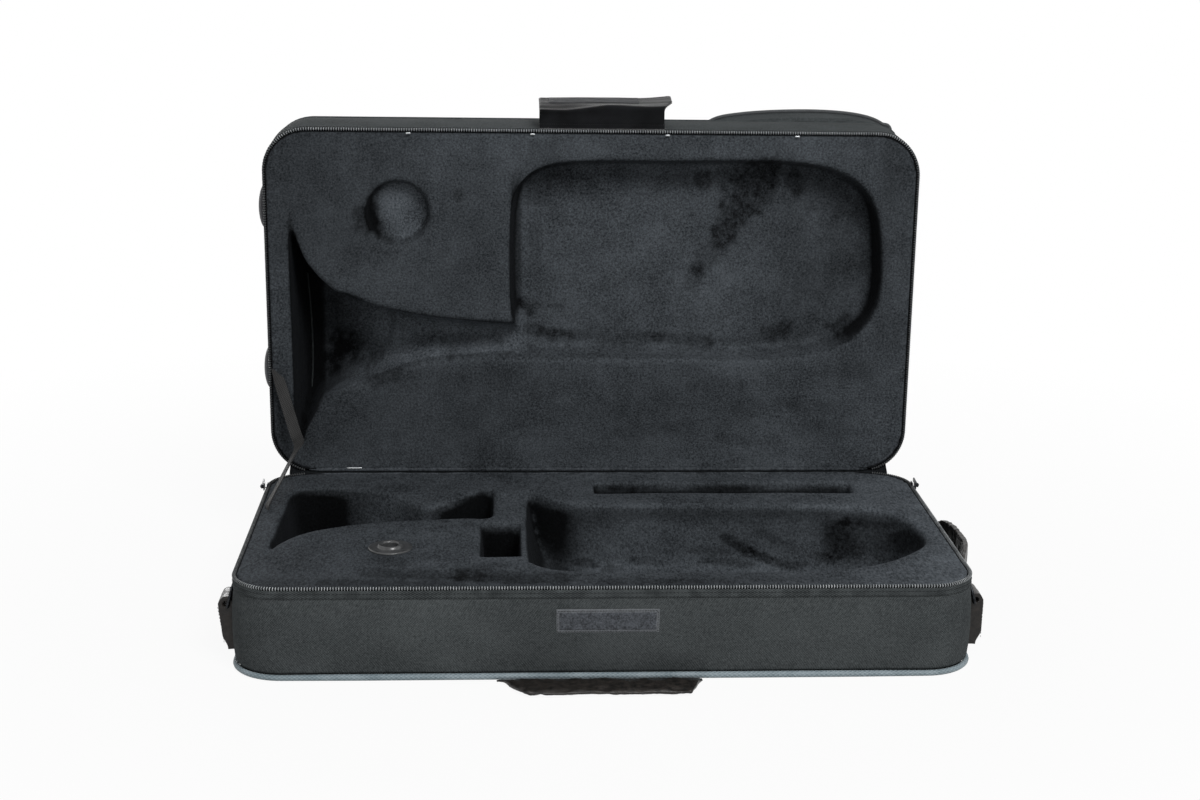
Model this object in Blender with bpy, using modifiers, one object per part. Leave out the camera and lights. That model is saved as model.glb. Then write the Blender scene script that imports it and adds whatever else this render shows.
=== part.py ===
"""Soft case for a tenor horn: padded base tray, hinged padded lid, plush inserts, zip, straps and handles.

Metres, +Z up. The long side runs along X, the zip opens on the -Y side and the hinge lies along the +Y side.
The origin is the middle of the base's flat underside. The lid stands open, square to the base.
"""

import math

import bmesh
import bpy
from mathutils import Matrix, Vector

for old in list(bpy.data.objects):
    bpy.data.objects.remove(old, do_unlink=True)

# Case body
CASE_LENGTH = 0.640
CASE_DEPTH = 0.343
BASE_HEIGHT = 0.083
LID_THICKNESS = 0.095
CORNER_RADIUS = 0.042
WALL = 0.005
FLOOR = 0.006
RIM_GAP = 0.003
RIM_STEP_IN = 0.002
RIM_STEP_TALL = 0.006
SEAT_GAP = 0.0003
OVERRUN = 0.010

# Piping along the outer edges of both halves
PIPING_RADIUS = 0.00275
PIPING_LIFT = 0.0017
PIPING_SEAT_IN = 0.003

# Plush inserts: depths are measured from the insert's own face
INSERT_DROP = 0.003
BELL_POCKET_DEEP = 0.060
SADDLE_DEEP = 0.008
VALVE_POCKET_DEEP = 0.060
SQUARE_POCKET_DEEP = 0.048
SLOT_DEEP = 0.042
LID_BELL_DEEP = 0.072
LID_CHANNEL_DEEP = 0.045
LID_RECESS_DEEP = 0.034
LID_ROUND_DEEP = 0.018
LID_ROUND_RADIUS = 0.031

# Outlines: shares of the case length (from the middle) and of its depth (base from the front, lid from the hinge)
BELL_POCKET_SHARES = (
    (-0.468, 0.262), (-0.464, 0.440), (-0.462, 0.640), (-0.458, 0.800), (-0.430, 0.846), (-0.385, 0.832),
    (-0.335, 0.802), (-0.292, 0.748), (-0.254, 0.662), (-0.222, 0.700), (-0.190, 0.782), (-0.158, 0.832),
    (-0.154, 0.700), (-0.160, 0.572), (-0.200, 0.566), (-0.264, 0.554), (-0.336, 0.525), (-0.390, 0.487),
    (-0.430, 0.430), (-0.458, 0.342),
)
SADDLE_SHARES = ((-0.170, 0.600), (-0.170, 0.800), (-0.090, 0.800), (-0.090, 0.600))
VALVE_POCKET_SHARES = (
    (-0.104, 0.260), (-0.096, 0.190), (-0.064, 0.138), (0.000, 0.118), (0.127, 0.115), (0.280, 0.121),
    (0.372, 0.165), (0.435, 0.262), (0.466, 0.360), (0.463, 0.500), (0.437, 0.598), (0.380, 0.634),
    (0.250, 0.638), (0.080, 0.640), (-0.010, 0.652), (-0.066, 0.728), (-0.096, 0.800), (-0.104, 0.700),
)
SQUARE_POCKET_SHARES = (-0.170, -0.114, 0.242, 0.519)
SLOT_SHARES = (0.002, 0.402, 0.790, 0.886)
BUSH_SHARES = (-0.297, 0.329)
LID_BELL_SHARES = (
    (-0.461, 0.080), (-0.445, 0.134), (-0.423, 0.201), (-0.390, 0.248), (-0.330, 0.300), (-0.300, 0.380),
    (-0.310, 0.462), (-0.384, 0.519), (-0.434, 0.604), (-0.455, 0.690), (-0.464, 0.764), (-0.464, 0.400),
)
LID_CHANNEL_SHARES = (
    (-0.345, 0.290), (-0.270, 0.322), (-0.180, 0.340), (-0.060, 0.341), (0.020, 0.360), (0.020, 0.480),
    (-0.060, 0.470), (-0.120, 0.446), (-0.240, 0.446), (-0.330, 0.470),
)
LID_RECESS_SHARES = (
    (-0.125, 0.480), (-0.128, 0.700), (-0.120, 0.820), (-0.090, 0.885), (-0.030, 0.912), (0.120, 0.915),
    (0.300, 0.915), (0.380, 0.880), (0.424, 0.800), (0.439, 0.660), (0.436, 0.500), (0.400, 0.405),
    (0.345, 0.352), (0.250, 0.336), (0.100, 0.341), (-0.020, 0.341), (-0.100, 0.350),
)
LID_ROUND_SHARES = (-0.299, 0.764)
STAPLE_SHARES = (-0.281, -0.094, 0.111, 0.309)
HINGE_STAPLE_SHARE = -0.373

# Mouthpiece bush
BUSH_FLANGE_RADIUS = 0.023
BUSH_BARREL_RADIUS = 0.0150
BUSH_BORE_RADIUS = 0.0112
BUSH_LIP_TALL = 0.005
BUSH_LONG = 0.040
BUSH_EDGE = 0.0015

# Zip round the rim: a tape and a coil on each half, and two sliders
ZIP_TAPE_THICK = 0.0008
ZIP_TAPE_TALL = 0.0090
ZIP_COIL_RADIUS = 0.0011
ZIP_COIL_OUT = 0.0008
ZIP_COIL_IN = 0.0005
ZIP_END_ANGLE = 15.0
SLIDER_LONG = 0.012
SLIDER_TALL = 0.010
SLIDER_PLATE = 0.0011
SLIDER_INNER_OUT = -0.0017
SLIDER_OUTER_OUT = 0.0023
SLIDER_NECK = 0.001
PULL_PIN_RADIUS = 0.0007
PULL_EYE_RADIUS = 0.0019
PULL_EYE_PLAY = 0.00035
PULL_EYE_TALL = 0.0034
PULL_LUG = 0.0012
PULL_LONG = 0.026
PULL_WIDE = 0.007
PULL_THICK = 0.0016
PULL_SHOULDER = 0.0034

# Hinge strips, staples and stay strap
HINGE_STRIP_TALL = 0.008
HINGE_STRIP_DROP = 0.001
STAPLE_LONG = 0.005
STAPLE_WIDE = 0.002
STAPLE_THICK = 0.0008
HINGE_STAPLE_LONG = 0.016
STRAP_WIDE = 0.015
STRAP_THICK = 0.0010
STRAP_OUT = 0.0065
STRAP_TAIL = 0.018
STRAP_BASE_ARM = 0.115
STRAP_LID_ARM = 0.113
STRAP_FOLD_IN = 0.029
STRAP_FOLD_BACK = 0.023
STRAP_FOLD_UP = 0.035
STRAP_SLOT_THICK = 0.0060
STRAP_SLOT_WIDE = 0.034

# Hook-and-loop closure
PATCH_LONG = 0.088
PATCH_TALL = BASE_HEIGHT * 0.253
PATCH_THICK = 0.0015
PATCH_CENTRE_UP = BASE_HEIGHT * 0.645
FLAP_LONG = 0.122
FLAP_CENTRE = 0.0075
FLAP_THICK = 0.003
FLAP_PIVOT_OUT = 0.0056
FLAP_ROOT_IN = 0.0115
FLAP_ROOT_LONG = 0.0155
FLAP_HEM = 0.003
FLAP_TIP_BACK = 81.6
FLAP_SEAM_WIDE = 0.003
HOOK_TAPE_THICK = 0.0015

# Dome feet on the left end: radius and height on the base are shares of the base's height
FOOT_RADIUS_SHARE = 0.265
FOOT_PROUD = 0.007
LID_FOOT_IN = 0.040
LID_FOOT_SHARES = (0.289, 0.764)
BASE_FOOT_UP_SHARE = 0.554
BASE_FOOT_SHARES = (0.330, 0.711)

# Tabs and D-rings on both end walls: heights are shares of the base's height
TAB_WIDE = 0.028
TAB_CLEAR = 0.0125
TAB_LOW_SHARE = 0.193
TAB_TOP_PROUD = 0.0133
TAB_LEFT_FOOT_PROUD = 0.0097
TAB_RIGHT_FOOT_PROUD = 0.0130
RING_BAR_UP_SHARE = 0.614
RING_BAR_OUT = 0.0070
RING_WIRE_RADIUS = 0.00175
RING_PLAY = 0.0004
RING_TALL_SHARE = 0.217
TAB_LEATHER = 0.0026

# Handles
END_HANDLE_HALF = CASE_DEPTH * 0.2507
END_HANDLE_PROUD = 0.027
END_HANDLE_UP = BASE_HEIGHT * 0.657
END_HANDLE_WIDE = BASE_HEIGHT * 0.313
END_HANDLE_END_WIDE = 0.014
END_HANDLE_THICK = 0.006
END_HANDLE_PIN = 0.003
PIN_INSET = 0.0005
END_HANDLE_TAPER = END_HANDLE_HALF * 0.256
ANCHOR_PAD = 0.018
ANCHOR_THICK = 0.002
CARRY_CENTRE = -0.0065
CARRY_HALF = 0.0885
CARRY_GRIP_HALF = 0.0695
CARRY_REACH = 0.036
CARRY_GRIP_WIDE = 0.024
CARRY_THICK = 0.007
CARRY_LEG = 0.0165
CARRY_PIN = 0.0016
CARRY_PIVOT_OUT = 0.0041
CARRY_ROOT_THICK = 0.0032
CARRY_EDGE = 0.0025
CARRY_TAB_WIDE = 0.0130
CARRY_TAB_LONG = 0.022
CARRY_TAB_THICK = 0.0012
CARRY_TAB_LIFT = 0.0002

# Outer pocket on the lid: its outline in shares, and its zip
POCKET_DEEP = 0.044
POCKET_SHARES = (
    (0.170, 0.300), (0.166, 0.600), (0.172, 0.900), (0.196, 0.978), (0.250, 1.004), (0.350, 1.014),
    (0.430, 1.006), (0.476, 0.980), (0.493, 0.930), (0.496, 0.600), (0.490, 0.300), (0.470, 0.215),
    (0.420, 0.190), (0.330, 0.184), (0.240, 0.190), (0.190, 0.215),
)
POCKET_PIPING_RADIUS = 0.002
POCKET_ZIP_SHARES = (0.215, 0.455, 0.860)
POCKET_ZIP_WIDE = 0.024
POCKET_ZIP_THICK = 0.001
POCKET_RIDGE_WIDE = 0.005
POCKET_RIDGE_THICK = 0.0015
POCKET_SLIDER_LONG = 0.012
POCKET_SLIDER_WIDE = 0.010
POCKET_SLIDER_THICK = 0.0012

CORNER_STEPS = 8
SMOOTH_STEPS = 3
ROUND_STEPS = 24

PARTS = bpy.data.collections.new("tenor_horn_case")
CUTTERS = bpy.data.collections.new("cutters")
GUIDES = bpy.data.collections.new("axes")
for group in (PARTS, CUTTERS, GUIDES):
    bpy.context.scene.collection.children.link(group)


def material(name, rgb, roughness, metallic=0.0):
    """A plain Principled BSDF material."""
    found = bpy.data.materials.new(name)
    found.use_nodes = True
    shader = found.node_tree.nodes["Principled BSDF"]
    shader.inputs["Base Color"].default_value = (*rgb, 1.0)
    shader.inputs["Roughness"].default_value = roughness
    shader.inputs["Metallic"].default_value = metallic
    found.diffuse_color = (*rgb, 1.0)
    return found


NYLON = material("nylon", (0.050, 0.055, 0.057), 0.85)
PLUSH = material("plush", (0.030, 0.034, 0.040), 0.95)
PIPING = material("piping", (0.270, 0.320, 0.340), 0.7)
TAPE = material("zip_tape", (0.060, 0.065, 0.070), 0.8)
COIL = material("zip_coil", (0.300, 0.310, 0.320), 0.5)
LEATHER = material("leatherette", (0.012, 0.012, 0.013), 0.35)
WEBBING = material("webbing", (0.200, 0.200, 0.190), 0.8)
LOOP = material("loop_pile", (0.040, 0.042, 0.048), 0.95)
HOOK = material("hook_pile", (0.060, 0.060, 0.065), 0.6)
PLASTIC = material("bush_plastic", (0.030, 0.030, 0.032), 0.25)
RUBBER = material("foot_plastic", (0.020, 0.020, 0.022), 0.6)
STEEL = material("steel", (0.600, 0.600, 0.600), 0.25, 1.0)


def add(name, mesh, slot, parent=None):
    """Makes a named part from a mesh, which is drawn about its parent's axis point."""
    part = bpy.data.objects.new(name, mesh)
    mesh.materials.clear()
    mesh.materials.append(slot)
    PARTS.objects.link(part)
    part.parent = parent
    return part


def axis_empty(name, place, parent=None):
    """An empty on a joint's axis, placed in its parent's frame."""
    empty = bpy.data.objects.new(name, None)
    GUIDES.objects.link(empty)
    empty.parent = parent
    empty.location = place
    empty.empty_display_size = OVERRUN
    return empty


def cutter(mesh, parent=None):
    """A hidden object whose mesh cuts, joins or bounds a part."""
    tool = bpy.data.objects.new("cutter_" + mesh.name, mesh)
    CUTTERS.objects.link(tool)
    tool.parent = parent
    tool.hide_render = True
    tool.display_type = "WIRE"
    return tool


def combine(part, mesh, operation="DIFFERENCE"):
    """Cuts a mesh from a part, joins it or keeps what they share, in the part's own frame."""
    step = part.modifiers.new(operation.lower(), "BOOLEAN")
    step.operation = operation
    step.object = cutter(mesh, part.parent)
    return part


def turn(mesh, matrix):
    """Moves a mesh by a matrix, and turns its faces back out if the matrix mirrors it."""
    mesh.transform(matrix)
    if matrix.determinant() < 0:
        mesh.flip_normals()
    return mesh


def shift(x, y, z):
    return Matrix.Translation((x, y, z))


def swap(right, back, up):
    """A matrix that sends a flat drawing's x, y and height along three given directions."""
    return Matrix((right, back, up)).transposed().to_4x4()


def box(low, high):
    """A box between two corners, as a mesh."""
    shape = bmesh.new()
    size = Vector(high) - Vector(low)
    bmesh.ops.create_cube(shape, size=1.0, matrix=Matrix.Translation((Vector(low) + Vector(high)) / 2) @ Matrix.Diagonal((*size, 1)))
    mesh = bpy.data.meshes.new("box")
    shape.to_mesh(mesh)
    shape.free()
    return mesh


def cylinder(radius, low, high, steps=ROUND_STEPS):
    """A cylinder along Z, as a mesh."""
    shape = bmesh.new()
    place = Matrix.Translation((0, 0, (low + high) / 2))
    bmesh.ops.create_cone(shape, cap_ends=True, segments=steps, radius1=radius, radius2=radius, depth=high - low, matrix=place)
    mesh = bpy.data.meshes.new("cylinder")
    shape.to_mesh(mesh)
    shape.free()
    return mesh


def from_curve(curve):
    """The welded mesh of a curve's tube or filled outline."""
    holder = bpy.data.objects.new("outline", curve)
    GUIDES.objects.link(holder)
    bpy.context.view_layer.update()
    depsgraph = bpy.context.evaluated_depsgraph_get()
    mesh = bpy.data.meshes.new_from_object(holder.evaluated_get(depsgraph))
    bpy.data.objects.remove(holder)
    shape = bmesh.new()
    shape.from_mesh(mesh)
    bmesh.ops.remove_doubles(shape, verts=shape.verts, dist=SEAT_GAP / 100)
    bmesh.ops.recalc_face_normals(shape, faces=shape.faces)
    shape.to_mesh(mesh)
    shape.free()
    return mesh


def prism(outlines, low, high):
    """A flat outline, or several with holes inside them, made solid from one height to another."""
    curve = bpy.data.curves.new("prism", "CURVE")
    curve.dimensions = "2D"
    curve.fill_mode = "BOTH"
    curve.extrude = (high - low) / 2
    for outline in outlines:
        spline = curve.splines.new("POLY")
        spline.points.add(len(outline) - 1)
        for point, (x, y) in zip(spline.points, outline):
            point.co = (x, y, 0, 1)
        spline.use_cyclic_u = True
    mesh = from_curve(curve)
    mesh.transform(shift(0, 0, (low + high) / 2))
    return mesh


def tube(name, points, radius, slot, parent=None, cyclic=False, resolution=2):
    """A round tube along a line of points, left as a curve."""
    curve = bpy.data.curves.new(name, "CURVE")
    curve.dimensions = "3D"
    curve.bevel_depth = radius
    curve.bevel_resolution = resolution
    curve.use_fill_caps = not cyclic
    spline = curve.splines.new("POLY")
    spline.points.add(len(points) - 1)
    for point, place in zip(spline.points, points):
        point.co = (*place, 1)
    spline.use_cyclic_u = cyclic
    curve.materials.append(slot)
    part = bpy.data.objects.new(name, curve)
    PARTS.objects.link(part)
    part.parent = parent
    return part


def turned(name, profile, slot, parent=None, steps=32):
    """A profile of radius and height, turned about Z."""
    mesh = bpy.data.meshes.new(name)
    on_axis = profile[0][0] == 0
    points = [(radius, 0, height) for radius, height in profile]
    edges = [(i, i + 1) for i in range(len(points) - 1)]
    if not on_axis:
        edges.append((len(points) - 1, 0))
    mesh.from_pydata(points, edges, [])
    part = add(name, mesh, slot, parent)
    screw = part.modifiers.new("screw", "SCREW")
    screw.angle = 2 * math.pi
    screw.steps = steps
    screw.render_steps = steps
    screw.use_merge_vertices = True
    screw.merge_threshold = SEAT_GAP / 100
    return part


def arc(centre, radius, start, end, steps=CORNER_STEPS):
    """Points along an arc, from one angle in degrees to another."""
    angles = [math.radians(start + (end - start) * i / steps) for i in range(steps + 1)]
    return [(centre[0] + radius * math.cos(a), centre[1] + radius * math.sin(a)) for a in angles]


def rim_path(out, opening=0.0):
    """The case outline moved outwards, from the rear right corner round the front to the rear left corner."""
    half_long = CASE_LENGTH / 2 - CORNER_RADIUS
    half_deep = CASE_DEPTH / 2 - CORNER_RADIUS
    radius = CORNER_RADIUS + out
    points = arc((half_long, half_deep), radius, 90 - opening, 0)
    points += arc((half_long, -half_deep), radius, 0, -90)
    points += arc((-half_long, -half_deep), radius, -90, -180)
    points += arc((-half_long, half_deep), radius, 180, 90 + opening)
    return points


def lid_flat(path):
    """Turns base outline points, which are centred, into lid points measured up from the hinge."""
    return [(x, CASE_DEPTH / 2 - y) for x, y in path]


def from_shares(shares, front=-CASE_DEPTH / 2):
    return [(CASE_LENGTH * x, front + CASE_DEPTH * y) for x, y in shares]


def smooth(points, steps=SMOOTH_STEPS):
    """A closed smooth line through points."""
    line = []
    count = len(points)
    for i in range(count):
        a, b, c, d = (Vector(points[(i + k) % count]) for k in (-1, 0, 1, 2))
        for j in range(steps):
            t = j / steps
            line.append(((2 * b) + (c - a) * t + (2 * a - 5 * b + 4 * c - d) * t**2 + (3 * b - a - 3 * c + d) * t**3) / 2)
    return [tuple(p) for p in line]


def rectangle(left, right, front, back):
    return [(left, front), (right, front), (right, back), (left, back)]


HINGE = Vector((0, CASE_DEPTH / 2, BASE_HEIGHT + RIM_GAP / 2))
LID_AXIS = axis_empty("lid_axis", HINGE)
# A lid piece is drawn flat, as x, height above the hinge and depth from the rim plane, then stood up.
STAND = shift(0, RIM_GAP / 2, 0) @ swap((1, 0, 0), (0, 0, 1), (0, 1, 0))
FRONT = -CASE_DEPTH / 2
PIPING_TOP = PIPING_LIFT + 2 * PIPING_RADIUS + SEAT_GAP
PIPING_MIDDLE = PIPING_LIFT + PIPING_RADIUS
PIPING_OUT = SEAT_GAP + PIPING_RADIUS - PIPING_SEAT_IN
INSERT_TOP = BASE_HEIGHT - INSERT_DROP
INSERT_SIDE = WALL + SEAT_GAP


def tray(name, height, parent, stand):
    """A padded half shell: floor, walls, a stepped rim for the zip and a seat for the piping."""
    section = (
        (-PIPING_SEAT_IN, 0), (-PIPING_SEAT_IN, PIPING_TOP), (0, PIPING_TOP), (0, height - RIM_STEP_TALL),
        (-RIM_STEP_IN, height - RIM_STEP_TALL), (-RIM_STEP_IN, height), (-WALL, height), (-WALL, FLOOR),
    )
    shape = bmesh.new()
    rings = [[shape.verts.new((x, y, up)) for x, y in rim_path(out)] for out, up in section]
    for one, two in zip(rings, rings[1:]):
        for k in range(len(one)):
            shape.faces.new((one[k - 1], one[k], two[k], two[k - 1]))
    shape.faces.new(rings[0])
    shape.faces.new(rings[-1][::-1])
    bmesh.ops.recalc_face_normals(shape, faces=shape.faces)
    mesh = bpy.data.meshes.new(name)
    shape.to_mesh(mesh)
    shape.free()
    return add(name, turn(mesh, stand), NYLON, parent)


# The lid is the same kind of tray, drawn with its outer face down and turned over onto the hinge.
LID_OVER = STAND @ shift(0, CASE_DEPTH / 2, LID_THICKNESS) @ Matrix.Diagonal((1, -1, -1, 1))


def shells():
    base = tray("base_shell", BASE_HEIGHT, None, Matrix.Identity(4))
    for side in (-1, 1):
        x = CARRY_CENTRE + side * (CARRY_HALF - CARRY_LEG / 2)
        half = CARRY_TAB_WIDE / 2 + SEAT_GAP
        back = FRONT + CARRY_TAB_LONG + SEAT_GAP
        top = CARRY_TAB_LIFT + CARRY_TAB_THICK + SEAT_GAP
        combine(base, box((x - half, FRONT - OVERRUN, -OVERRUN), (x + half, back, top)))
    tray("lid_shell", LID_THICKNESS, LID_AXIS, LID_OVER)


def strap_slot(arm):
    """The notch in a plush block's left side that holds a tail of the stay strap, below the block's face."""
    left = -CASE_LENGTH / 2 + INSERT_SIDE - OVERRUN
    right = -CASE_LENGTH / 2 + INSERT_SIDE + STRAP_SLOT_THICK
    return rectangle(left, right, arm - STRAP_SLOT_WIDE / 2, arm + STRAP_SLOT_WIDE / 2)


def base_insert():
    """The base's plush block with its pockets."""
    part = add("base_insert", prism([rim_path(-INSERT_SIDE)], FLOOR + SEAT_GAP, INSERT_TOP), PLUSH)
    above = INSERT_TOP + OVERRUN
    combine(part, prism([smooth(from_shares(BELL_POCKET_SHARES))], INSERT_TOP - BELL_POCKET_DEEP, above))
    combine(part, prism([from_shares(SADDLE_SHARES)], INSERT_TOP - SADDLE_DEEP, above))
    combine(part, prism([smooth(from_shares(VALVE_POCKET_SHARES))], INSERT_TOP - VALVE_POCKET_DEEP, above))
    for shares, deep in ((SQUARE_POCKET_SHARES, SQUARE_POCKET_DEEP), (SLOT_SHARES, SLOT_DEEP)):
        left, right, front, back = shares
        corners = from_shares(rectangle(left, right, front, back))
        combine(part, prism([corners], INSERT_TOP - deep, above))
    x, y = from_shares([BUSH_SHARES])[0]
    hole = cylinder(BUSH_BARREL_RADIUS + SEAT_GAP, INSERT_TOP - BUSH_LONG - SEAT_GAP, above)
    combine(part, turn(hole, shift(x, y, 0)))
    slot = strap_slot(HINGE.y - STRAP_BASE_ARM)
    combine(part, prism([slot], INSERT_TOP - STRAP_TAIL, above))


def lid_insert():
    """The lid's plush block with its recesses."""
    outline = lid_flat(rim_path(-INSERT_SIDE))
    inner = LID_THICKNESS - FLOOR - SEAT_GAP
    part = add("lid_insert", turn(prism([outline], INSERT_DROP, inner), STAND), PLUSH, LID_AXIS)
    cuts = (
        (smooth(from_shares(LID_BELL_SHARES, 0)), LID_BELL_DEEP),
        (smooth(from_shares(LID_CHANNEL_SHARES, 0)), LID_CHANNEL_DEEP),
        (smooth(from_shares(LID_RECESS_SHARES, 0)), LID_RECESS_DEEP),
        (strap_slot(STRAP_LID_ARM), STRAP_TAIL),
    )
    for outline, deep in cuts:
        combine(part, turn(prism([outline], -OVERRUN, INSERT_DROP + deep), STAND))
    x, y = from_shares([LID_ROUND_SHARES], 0)[0]
    hole = turn(cylinder(LID_ROUND_RADIUS, -OVERRUN, INSERT_DROP + LID_ROUND_DEEP, 32), shift(x, y, 0))
    combine(part, turn(hole, STAND))


def mouthpiece_bush():
    """A turned bush: a flange with a raised lip, and a barrel down into the plush block."""
    low = INSERT_TOP + SEAT_GAP
    high = INSERT_TOP + BUSH_LIP_TALL
    foot = INSERT_TOP - BUSH_LONG
    profile = (
        (BUSH_BORE_RADIUS + BUSH_EDGE, high),
        (BUSH_BARREL_RADIUS + BUSH_EDGE, high),
        (BUSH_FLANGE_RADIUS - BUSH_EDGE, low + BUSH_EDGE * 2),
        (BUSH_FLANGE_RADIUS, low + BUSH_EDGE),
        (BUSH_FLANGE_RADIUS, low),
        (BUSH_BARREL_RADIUS, low),
        (BUSH_BARREL_RADIUS, foot),
        (BUSH_BORE_RADIUS, foot),
        (BUSH_BORE_RADIUS, high - BUSH_EDGE),
    )
    part = turned("mouthpiece_bush", profile, PLASTIC)
    x, y = from_shares([BUSH_SHARES])[0]
    part.location = (x, y, 0)


def edge_piping():
    """A cord of piping in the seat at the outer edge of each half."""
    path = rim_path(PIPING_OUT)
    tube("base_piping", [(x, y, PIPING_MIDDLE) for x, y in path], PIPING_RADIUS, PIPING, cyclic=True, resolution=3)
    deep = RIM_GAP / 2 + LID_THICKNESS - PIPING_MIDDLE
    lid_path = [(x, deep, s) for x, s in lid_flat(path)]
    tube("lid_piping", lid_path, PIPING_RADIUS, PIPING, LID_AXIS, cyclic=True, resolution=3)


def zips():
    """Zip tape and coil on both halves, open at the hinge side."""
    near = ZIP_COIL_IN + ZIP_COIL_RADIUS + SEAT_GAP
    band = rim_path(SEAT_GAP, ZIP_END_ANGLE) + rim_path(SEAT_GAP + ZIP_TAPE_THICK, ZIP_END_ANGLE)[::-1]
    coil = rim_path(ZIP_COIL_OUT, ZIP_END_ANGLE)
    top = BASE_HEIGHT - near
    add("base_zip_tape", prism([band], BASE_HEIGHT - ZIP_TAPE_TALL, top), TAPE)
    tube("base_zip_coil", [(x, y, BASE_HEIGHT - ZIP_COIL_IN) for x, y in coil], ZIP_COIL_RADIUS, COIL)
    add("lid_zip_tape", turn(prism([lid_flat(band)], near, ZIP_TAPE_TALL), STAND), TAPE, LID_AXIS)
    lid_coil = [(x, RIM_GAP / 2 + ZIP_COIL_IN, s) for x, s in lid_flat(coil)]
    tube("lid_zip_coil", lid_coil, ZIP_COIL_RADIUS, COIL, LID_AXIS)


def hinge_strips():
    """The two halves of the fabric hinge, on the outside of the back walls."""
    half = CASE_LENGTH / 2 - CORNER_RADIUS
    near, far = SEAT_GAP, SEAT_GAP + ZIP_TAPE_THICK
    low = BASE_HEIGHT - HINGE_STRIP_DROP - HINGE_STRIP_TALL
    high = BASE_HEIGHT - HINGE_STRIP_DROP
    add("base_hinge_strip", box((-half, HINGE.y + near, low), (half, HINGE.y + far, high)), NYLON)
    start = RIM_GAP / 2 + HINGE_STRIP_DROP
    strip = box((-half, start, -far), (half, start + HINGE_STRIP_TALL, -near))
    add("lid_hinge_strip", strip, NYLON, LID_AXIS)


def staples():
    """Staples across the lid's rim, and a longer one beside the hinge."""
    near = RIM_GAP / 2 - SEAT_GAP
    top = CASE_DEPTH - (RIM_STEP_IN + WALL) / 2
    for number, share in enumerate(STAPLE_SHARES, 1):
        x = CASE_LENGTH * share
        low = (x - STAPLE_LONG / 2, near - STAPLE_THICK, top - STAPLE_WIDE / 2)
        high = (x + STAPLE_LONG / 2, near, top + STAPLE_WIDE / 2)
        add(f"lid_staple_{number}", box(low, high), STEEL, LID_AXIS)
    x = CASE_LENGTH * HINGE_STAPLE_SHARE
    middle = (RIM_STEP_IN + WALL) / 2
    low = (x - HINGE_STAPLE_LONG / 2, near - STAPLE_THICK, middle - STAPLE_WIDE / 2)
    high = (x + HINGE_STAPLE_LONG / 2, near, middle + STAPLE_WIDE / 2)
    add("hinge_staple", box(low, high), STEEL, LID_AXIS)


def strap_line():
    """Middle line of the stay strap, with the direction of its width at each point."""
    x = -CASE_LENGTH / 2 + STRAP_OUT
    base_end = Vector((x, HINGE.y - STRAP_BASE_ARM, BASE_HEIGHT))
    lid_end = Vector((x, HINGE.y + RIM_GAP / 2, HINGE.z + STRAP_LID_ARM))
    fold = Vector((x + STRAP_FOLD_IN - STRAP_OUT, HINGE.y - STRAP_FOLD_BACK, HINGE.z + STRAP_FOLD_UP))
    tail = Vector((0, 1, 1)).normalized() * (STRAP_TAIL - INSERT_DROP)
    return [
        (base_end - tail, Vector((0, 1, -1))),
        (base_end, Vector((0, 1, -1))),
        (base_end.lerp(fold, 0.35), Vector((0.1, 0.7, -1))),
        (base_end.lerp(fold, 0.7), Vector((0.2, 0.5, -1))),
        (fold, Vector((0.45, 0.75, -0.45))),
        (fold.lerp(lid_end, 0.35), Vector((0.6, 0.8, -0.1))),
        (fold.lerp(lid_end, 0.7), Vector((0.3, 0.9, -0.5))),
        (lid_end, Vector((0, 1, -1))),
        (lid_end + tail, Vector((0, 1, -1))),
    ]


def stay_strap():
    """The slack webbing strap between base and lid, lofted as a thin ribbon that twists."""
    stations = strap_line()
    steps = 4
    line = []
    for i in range(len(stations) - 1):
        quad = [stations[min(max(i + k, 0), len(stations) - 1)] for k in (-1, 0, 1, 2)]
        last = i == len(stations) - 2
        for j in range(steps + last):
            t = j / steps
            weights = ((-t + 2 * t**2 - t**3) / 2, (2 - 5 * t**2 + 3 * t**3) / 2, (t + 4 * t**2 - 3 * t**3) / 2, (t**3 - t**2) / 2)
            point = sum((w * p for w, (p, _) in zip(weights, quad)), Vector())
            wide = sum((w * d.normalized() for w, (_, d) in zip(weights, quad)), Vector())
            line.append((point, wide))
    shape = bmesh.new()
    rings = []
    for i, (point, wide) in enumerate(line):
        ahead = (line[min(i + 1, len(line) - 1)][0] - line[max(i - 1, 0)][0]).normalized()
        across = (wide - ahead * wide.dot(ahead)).normalized() * STRAP_WIDE / 2
        thick = ahead.cross(across).normalized() * STRAP_THICK / 2
        corners = (point - across - thick, point + across - thick, point + across + thick, point - across + thick)
        rings.append([shape.verts.new(corner) for corner in corners])
    for one, two in zip(rings, rings[1:]):
        for k in range(4):
            shape.faces.new((one[k], one[(k + 1) % 4], two[(k + 1) % 4], two[k]))
    shape.faces.new(rings[0])
    shape.faces.new(rings[-1][::-1])
    bmesh.ops.recalc_face_normals(shape, faces=shape.faces)
    mesh = bpy.data.meshes.new("stay_strap")
    shape.to_mesh(mesh)
    shape.free()
    add("stay_strap", mesh, WEBBING)


def loop_patch():
    """The loop half of the closure, on the front wall."""
    low = (-PATCH_LONG / 2, FRONT - SEAT_GAP - PATCH_THICK, PATCH_CENTRE_UP - PATCH_TALL / 2)
    high = (PATCH_LONG / 2, FRONT - SEAT_GAP, PATCH_CENTRE_UP + PATCH_TALL / 2)
    add("loop_patch", box(low, high), LOOP)


def capsule(length, thick):
    """A plate's section: round about the origin, then straight to a square end."""
    radius = thick / 2
    return arc((0, 0), radius, 90, 270) + [(length, -radius), (length, radius)]


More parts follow.
